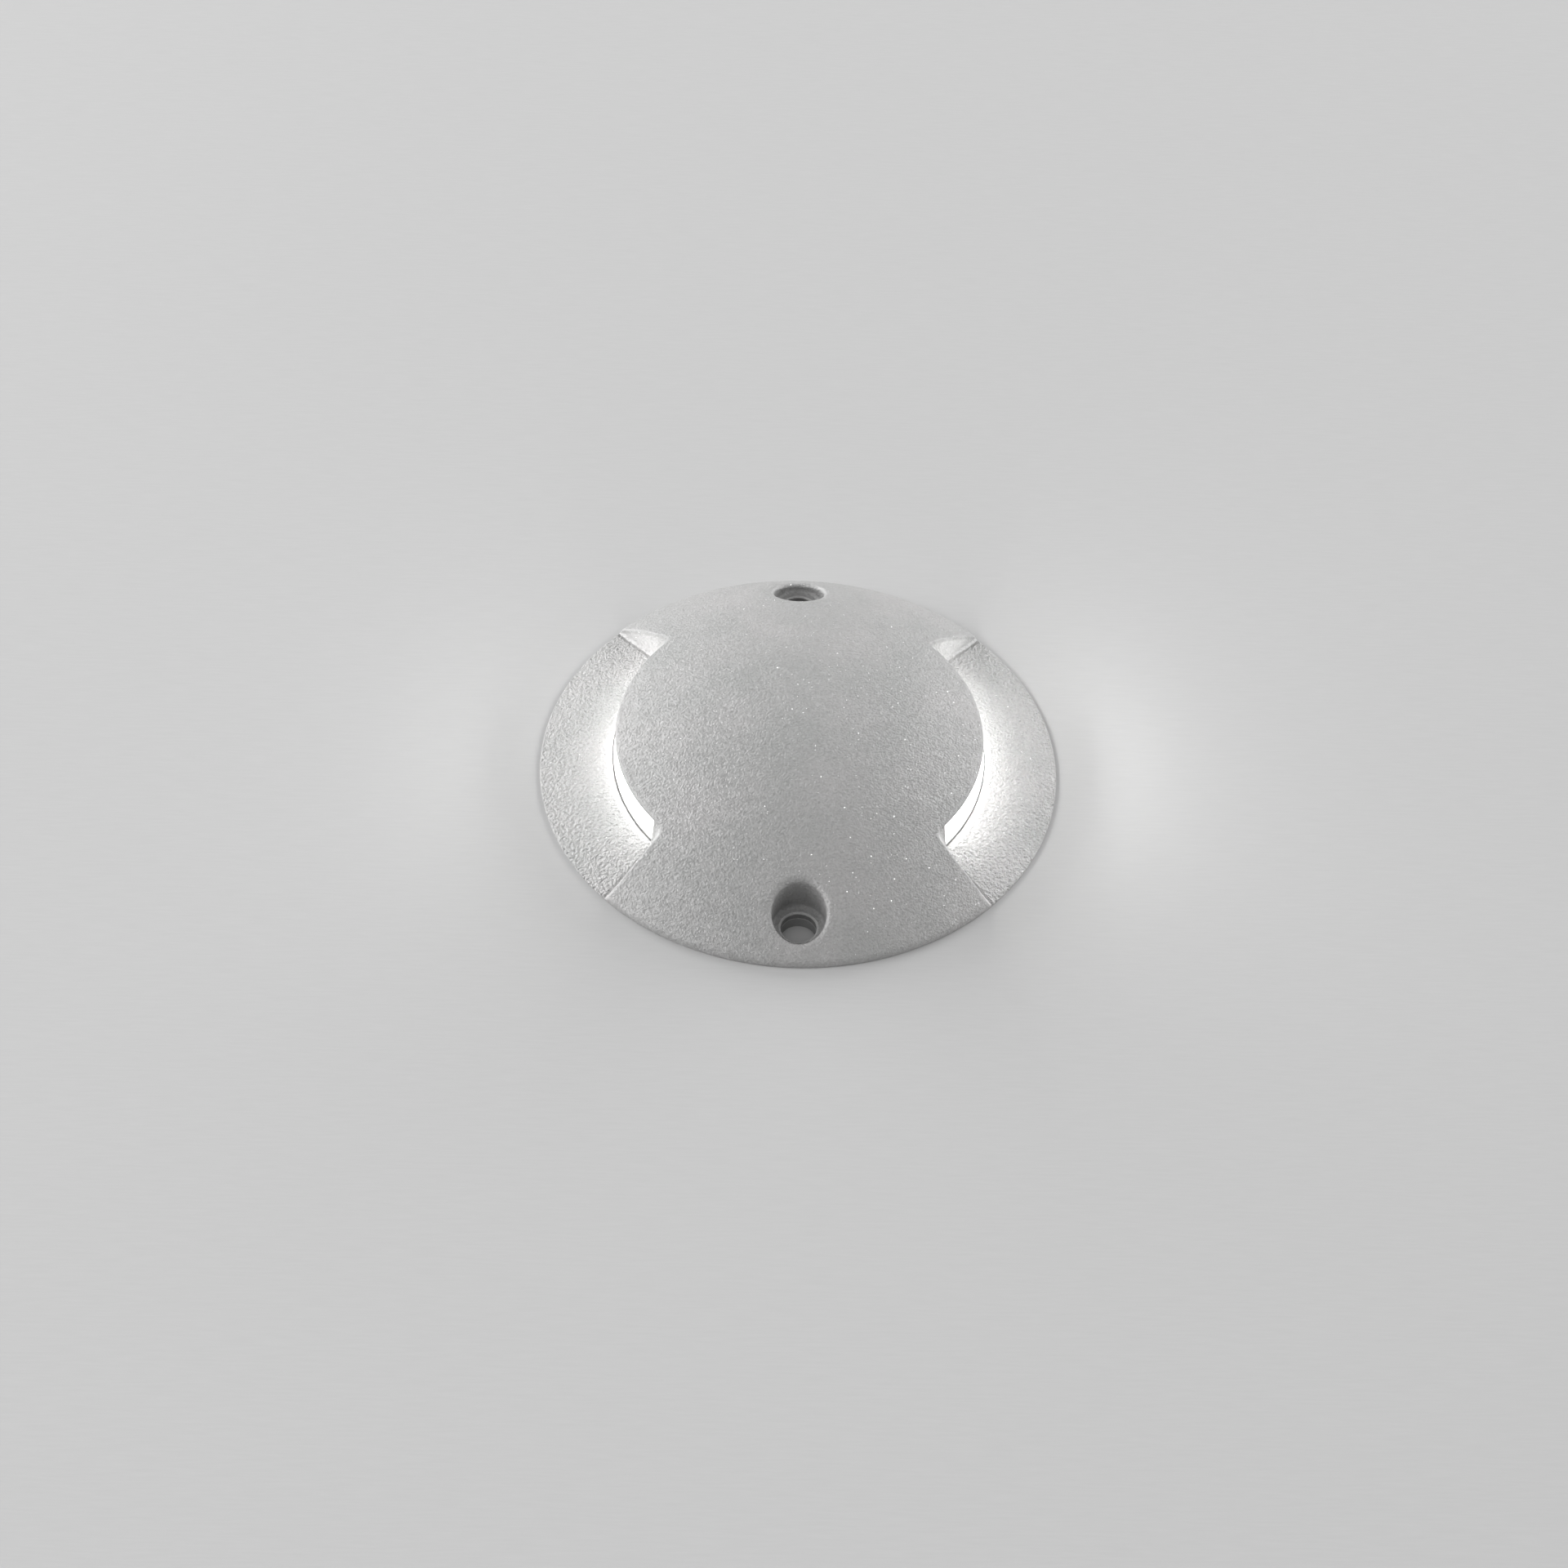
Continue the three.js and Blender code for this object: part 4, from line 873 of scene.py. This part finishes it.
def window_finish():
    """Opal window, lit on its outer face only and brightest at its top."""
    nodes = Nodes("frosted_window")
    color = SLOT_COLORS["frosted_window"]
    x, y, z = nodes.split_place()
    radius = nodes.root(nodes.squares(x, y))
    leaned = nodes.math("MULTIPLY_ADD", z, WALL_LEAN, c=radius)
    outer_face = POCKET_FOOT_RADIUS + WALL_LEAN * POCKET_FLOOR - DIFFUSER_INSET
    face = nodes.ramp_mm(leaned, 0, 1, *[outer_face - blend for blend in WINDOW_FACE_BLEND])
    left = nodes.ramp_mm(z, *WINDOW_GLOW["left"], DIFFUSER_BOTTOM, DIFFUSER_TOP)
    right = nodes.ramp_mm(z, *WINDOW_GLOW["right"], DIFFUSER_BOTTOM, DIFFUSER_TOP)
    on_right = nodes.math("GREATER_THAN", x, 0.0)
    glow = nodes.math("MULTIPLY_ADD", on_right, nodes.math("SUBTRACT", right, left), c=left)
    frost = nodes.noise(WINDOW_FROST)
    tones = [shade(color, tone) for tone in WINDOW_TONES]
    nodes.set(
        Base_Color=nodes.mix(nodes.spread(frost, 0, 1), *tones),
        Roughness=nodes.spread(frost, *WINDOW_ROUGHNESS),
        Emission_Color=WINDOW_LIGHT,
        Emission_Strength=nodes.math("MULTIPLY", face, glow),
        Normal=nodes.bump(frost, WINDOW_FROST_BUMP),
    )
    return nodes.material


LED_GRAIN = 0.2
LED_TONES = (0.92, 1.08)
LED_ROUGHNESS = (0.3, 0.4)
LED_LIGHT = (1.0, 0.95, 0.8, 1)


def led_finish():
    """Phosphor in a pale case."""
    nodes = Nodes("led_case")
    color = SLOT_COLORS["led_case"]
    grain = nodes.noise(LED_GRAIN)
    tones = [shade(color, tone) for tone in LED_TONES]
    nodes.set(
        Base_Color=nodes.mix(nodes.spread(grain, 0, 1), *tones),
        Roughness=nodes.spread(grain, *LED_ROUGHNESS),
        Emission_Color=LED_LIGHT,
        Emission_Strength=1.0,
    )
    return nodes.material


def make_finishes():
    """The finish of each of the record's material slots."""
    finishes = {slot: plain_finish(slot, *values) for slot, values in PLAIN_FINISHES.items()}
    finishes["cast_body"] = cast_finish()
    finishes["frosted_window"] = window_finish()
    finishes["led_case"] = led_finish()
    return finishes


# Floor, world and lamps

FLOOR_REACH_METRES = 8.0
# A hair of room under the object keeps its flat ring and the floor apart
FLOOR_ROOM = 0.02
FLOOR_COLOR = (0.63, 0.63, 0.63)
FLOOR_ROUGHNESS = 0.7
FLOOR_MARKS = 6
FLOOR_MARK_STRETCH = (1, 14, 1)
FLOOR_MARK_TONES = (0.985, 1.015)
WORLD_STRENGTH = 0.2

# The holes in the floor that the fixings would go into, each in a square patch of floor
ANCHOR_HOLE_DEPTH = 2.2
ANCHOR_PATCH = 6.0
ANCHOR_SIDES = 64
# Painted shade on the sides of the holes
ANCHOR_PAINTED_SHADE = 0.6
ANCHOR_BLEND = 0.1


def anchor_hole(centre_y):
    """The points and faces of one patch with its hole."""
    turns = np.arange(ANCHOR_SIDES) * 2 * math.pi / ANCHOR_SIDES
    round_rim = np.stack([np.cos(turns), np.sin(turns), 0 * turns], axis=1)
    square_rim = round_rim * (ANCHOR_PATCH / np.abs(round_rim).max(axis=1))[:, None]
    centre = np.array([0, centre_y, 0])
    mouth = round_rim * FIXING_HOLE_RADIUS + centre
    bottom = mouth - np.array([0, 0, ANCHOR_HOLE_DEPTH])
    points = np.concatenate([square_rim + centre, mouth, bottom])
    here = np.arange(ANCHOR_SIDES)
    faces = [2 * ANCHOR_SIDES + here]
    for outer in (0, ANCHOR_SIDES):
        inner = outer + ANCHOR_SIDES
        for i, j in zip(here, np.roll(here, -1)):
            faces.append((outer + i, outer + j, inner + j, inner + i))
    return points, [tuple(map(int, face)) for face in faces]


def floor_mesh():
    """A square of floor round its two patches."""
    reach = FLOOR_REACH_METRES / MM
    across = (-reach, -ANCHOR_PATCH, ANCHOR_PATCH, reach)
    hole_rows = {1: -FIXING_PITCH, 3: FIXING_PITCH}
    edges = [y + edge for y in hole_rows.values() for edge in (-ANCHOR_PATCH, ANCHOR_PATCH)]
    along = (-reach, *edges, reach)
    points = [(x, y, 0) for y in along for x in across]
    faces = []
    for row in range(len(along) - 1):
        for column in range(len(across) - 1):
            first = row * len(across) + column
            if column == 1 and row in hole_rows:
                patch, patch_faces = anchor_hole(hole_rows[row])
                faces += [tuple(len(points) + i for i in face) for face in patch_faces]
                points += [tuple(map(float, point)) for point in patch]
            else:
                above = first + len(across)
                faces.append((first, first + 1, above + 1, above))
    mesh = bpy.data.meshes.new("floor")
    mesh.from_pydata([tuple(c * MM for c in point) for point in points], [], faces)
    return mesh


def floor_finish():
    """Plain and pale with very faint marks, and painted shade down the sides of its holes."""
    nodes = Nodes("floor")
    marks = nodes.noise(FLOOR_MARKS, detail=4, stretch=FLOOR_MARK_STRETCH)
    tones = [shade(FLOOR_COLOR, tone) for tone in FLOOR_MARK_TONES]
    color = nodes.mix(nodes.spread(marks, 0, 1), *tones)
    z = nodes.split_place()[2]
    # Painted shade down the sides of the holes; their bottoms keep the floor's colour
    above = nodes.ramp_mm(z, ANCHOR_PAINTED_SHADE, 1, -ANCHOR_BLEND, 0)
    at_bottom = nodes.ramp_mm(z, 1, 0, -ANCHOR_HOLE_DEPTH, ANCHOR_BLEND - ANCHOR_HOLE_DEPTH)
    nodes.set(
        Base_Color=nodes.scaled(color, nodes.math("MAXIMUM", above, at_bottom)),
        Roughness=FLOOR_ROUGHNESS,
        Specular_IOR_Level=0.0,
    )
    return nodes.material


def make_floor():
    """The floor under the light, which belongs to the picture only."""
    mesh = floor_mesh()
    floor = bpy.data.objects.new("floor", mesh)
    floor.location.z = -FLOOR_ROOM * MM
    bpy.context.scene.collection.objects.link(floor)
    mesh.materials.append(floor_finish())


def make_world():
    """A dim white surround."""
    world = bpy.data.worlds.new("studio")
    world.use_nodes = True
    background = world.node_tree.nodes["Background"]
    background.inputs["Color"].default_value = WHITE
    background.inputs["Strength"].default_value = WORLD_STRENGTH
    bpy.context.scene.world = world


# Softboxes: azimuth from +X and elevation in degrees, distance and size in metres, and watts
LAMPS = {
    "left_softbox": (180, 20, 2.0, 1.17, 25.3),
    "left_back_softbox": (135, 14, 2.0, 0.83, 25.3),
    "right_back_softbox": (45, 14, 2.0, 0.83, 22.2),
    "right_softbox": (0, 20, 2.0, 1.17, 15.0),
    "front_left_softbox": (-135, 40, 1.2, 0.9, 1.9),
    "top_softbox": (-90, 88, 1.2, 0.9, 1.5),
}


def soft_lamp(name, azimuth, elevation, distance, size, power):
    """A square softbox that faces the light."""
    data = bpy.data.lights.new(name, "AREA")
    data.shape = "SQUARE"
    data.size = size
    data.energy = power
    lamp = bpy.data.objects.new(name, data)
    a, e = math.radians(azimuth), math.radians(elevation)
    direction = Vector((math.cos(a) * math.cos(e), math.sin(a) * math.cos(e), math.sin(e)))
    lamp.location = direction * distance
    lamp.rotation_euler = direction.to_track_quat("Z", "Y").to_euler()
    bpy.context.scene.collection.objects.link(lamp)


# The LEDs' own light, just outside them: the side that it leaves to, its height in mm, and watts
LED_BEAMS = {"right_led_beam": (1, 4.62, 0.037), "left_led_beam": (-1, 4.45, 0.027)}
LED_BEAM_GAP = 0.4
LED_BEAM_PLACE = frame_mm("led_right_1")[1].x + LED_BEAM_GAP
LED_BEAM_LENGTH = 2 * frame_mm("led_right_6")[1].y
LED_BEAM_THICKNESS = 0.6


def led_beam(name, side, height, power):
    """The direct light of one row of LEDs, which leaves through its window."""
    data = bpy.data.lights.new(name, "AREA")
    data.shape = "RECTANGLE"
    data.size = LED_BEAM_LENGTH * MM
    data.size_y = LED_BEAM_THICKNESS * MM
    data.energy = power
    beam = bpy.data.objects.new(name, data)
    beam.matrix_world = Matrix((
        (0, 0, -side, side * LED_BEAM_PLACE * MM),
        (side, 0, 0, 0),
        (0, -1, 0, height * MM),
        (0, 0, 0, 1),
    ))
    bpy.context.scene.collection.objects.link(beam)


# Pieces

bpy.context.scene.view_settings.view_transform = "Standard"
place_camera()
make_world()
for lamp_name, lamp_values in LAMPS.items():
    soft_lamp(lamp_name, *lamp_values)
for beam_name, beam_values in LED_BEAMS.items():
    led_beam(beam_name, *beam_values)
make_floor()
finishes = make_finishes()

node_slots = {part["node"]: part["material_slot"] for part in frame["record"]["subparts"]}


def dress(piece, node):
    """The piece stands for this CAD node and takes its material."""
    slot = node_slots[node]
    piece.data.materials.append(finishes[slot])
    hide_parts(node)
    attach(piece, "root")


# Grids are finest where the shapes' edges lie, and no grid radius falls on an upright wall
cover_radii = steps(
    (0, 22, 2.0), (22, 32.4, 1.04), (32.4, 34.4, 0.5), (34.4, 35.5, 0.2), (35.5, 36.2, 0.08),
    (36.2, 36.7, 0.17), (36.7, 47.6, 0.38), (47.6, 50.3, 0.18)
)
cover_quarter = angle_steps((0, 36.8, 2.3), (36.8, 45.8, 0.36), (45.8, 81.4, 2.2), (81.4, 90, 0.5))
cover_heights = steps(
    (-0.24, 0.48, 0.12), (0.48, 1.08, 0.3), (1.08, 3.6, 0.16), (3.6, 8.4, 0.4),
    (8.4, 10.0, 0.16), (10.0, 17.5, 0.6)
)
cover_mesh = surface_net(cover_field, cover_radii, cover_quarter, cover_heights)
dress(mesh_object("cast_cover", *cover_mesh), "cover")

window_radii = steps((30.6, 34.8, 0.4), (34.8, 36.2, 0.1))
window_quarter = angle_steps((0, 37, 1.5), (37, 43, 0.25), (43, 90, 5))
window_heights = steps(
    (1.2, 3.2, 0.3), (3.2, 4.2, 0.1), (4.2, 8.0, 0.4), (8.0, 9.0, 0.1), (9.0, 9.6, 0.2)
)
windows, window_quads, _ = surface_net(
    diffuser_field, window_radii, window_quarter, window_heights
)
for side, keep in (("right", windows[:, 0] > 0), ("left", windows[:, 0] < 0)):
    window = mesh_object(f"window_{side}", *part_of(windows, window_quads, keep))
    window.visible_shadow = False
    dress(window, f"diffuser_{side}")

plate_radii = steps(
    (5.65, 8.35, 0.15), (8.35, 15, 1.1), (15, 19, 0.4), (19, 23.4, 1.1), (23.4, 31.2, 0.25),
    (31.2, 34.6, 1.1), (34.6, 35.5, 0.1)
)
plate_quarter = angle_steps((0, 6, 1), (6, 58, 2), (58, 72, 0.6), (72, 90, 2))
plate_heights = steps((0.1, 0.6, 0.07), (0.6, 1.5, 0.15), (1.5, 2.7, 0.2), (2.7, 3.2, 0.08))
plate_mesh = surface_net(plate_field, plate_radii, plate_quarter, plate_heights)
dress(mesh_object("under_plate", *plate_mesh), "base_plate")

small_quarter = angle_steps((0, 90, 5))
screw_radii = steps((0, 0.8, 0.1), (0.8, 1.7, 0.08), (1.7, 3, 0.13))
screw_heights = steps((0.3, 2.1, 0.08), (2.1, 7.2, 0.6), (7.2, 8.0, 0.1))
screw_mesh = surface_net(base_screw_field, screw_radii, small_quarter, screw_heights)
for i in range(1, 5):
    low, high = frame_mm(f"base_screw_{i}")
    screw = mesh_object(f"countersunk_screw_{i}", *screw_mesh)
    screw.location = ((low.x + high.x) / 2 * MM, (low.y + high.y) / 2 * MM, 0)
    dress(screw, f"base_screw_{i}")

gland_radii = steps((3.3, 5.2, 0.1), (5.2, 6.4, 0.15), (6.4, 7.8, 0.1))
gland_heights = steps(
    (0.3, 1.8, 0.1), (1.8, 4.0, 0.4), (4.0, 4.6, 0.1), (4.6, 6.8, 0.5), (6.8, 7.6, 0.1)
)
gland_mesh = surface_net(gland_body_field, gland_radii, small_quarter, gland_heights)
dress(mesh_object("inlet_body", *gland_mesh), "gland_body")
seal_radii = steps((3.0, 4.8, 0.08))
seal_heights = steps((0.5, 1.4, 0.08), (1.4, 3.7, 0.4), (3.7, 4.3, 0.08))
seal_mesh = surface_net(gland_seal_field, seal_radii, small_quarter, seal_heights)
dress(mesh_object("inlet_seal", *seal_mesh), "gland_seal")

for node, slot in node_slots.items():
    for material_slot in frame["nodes"][node].material_slots:
        material_slot.material = finishes[slot]
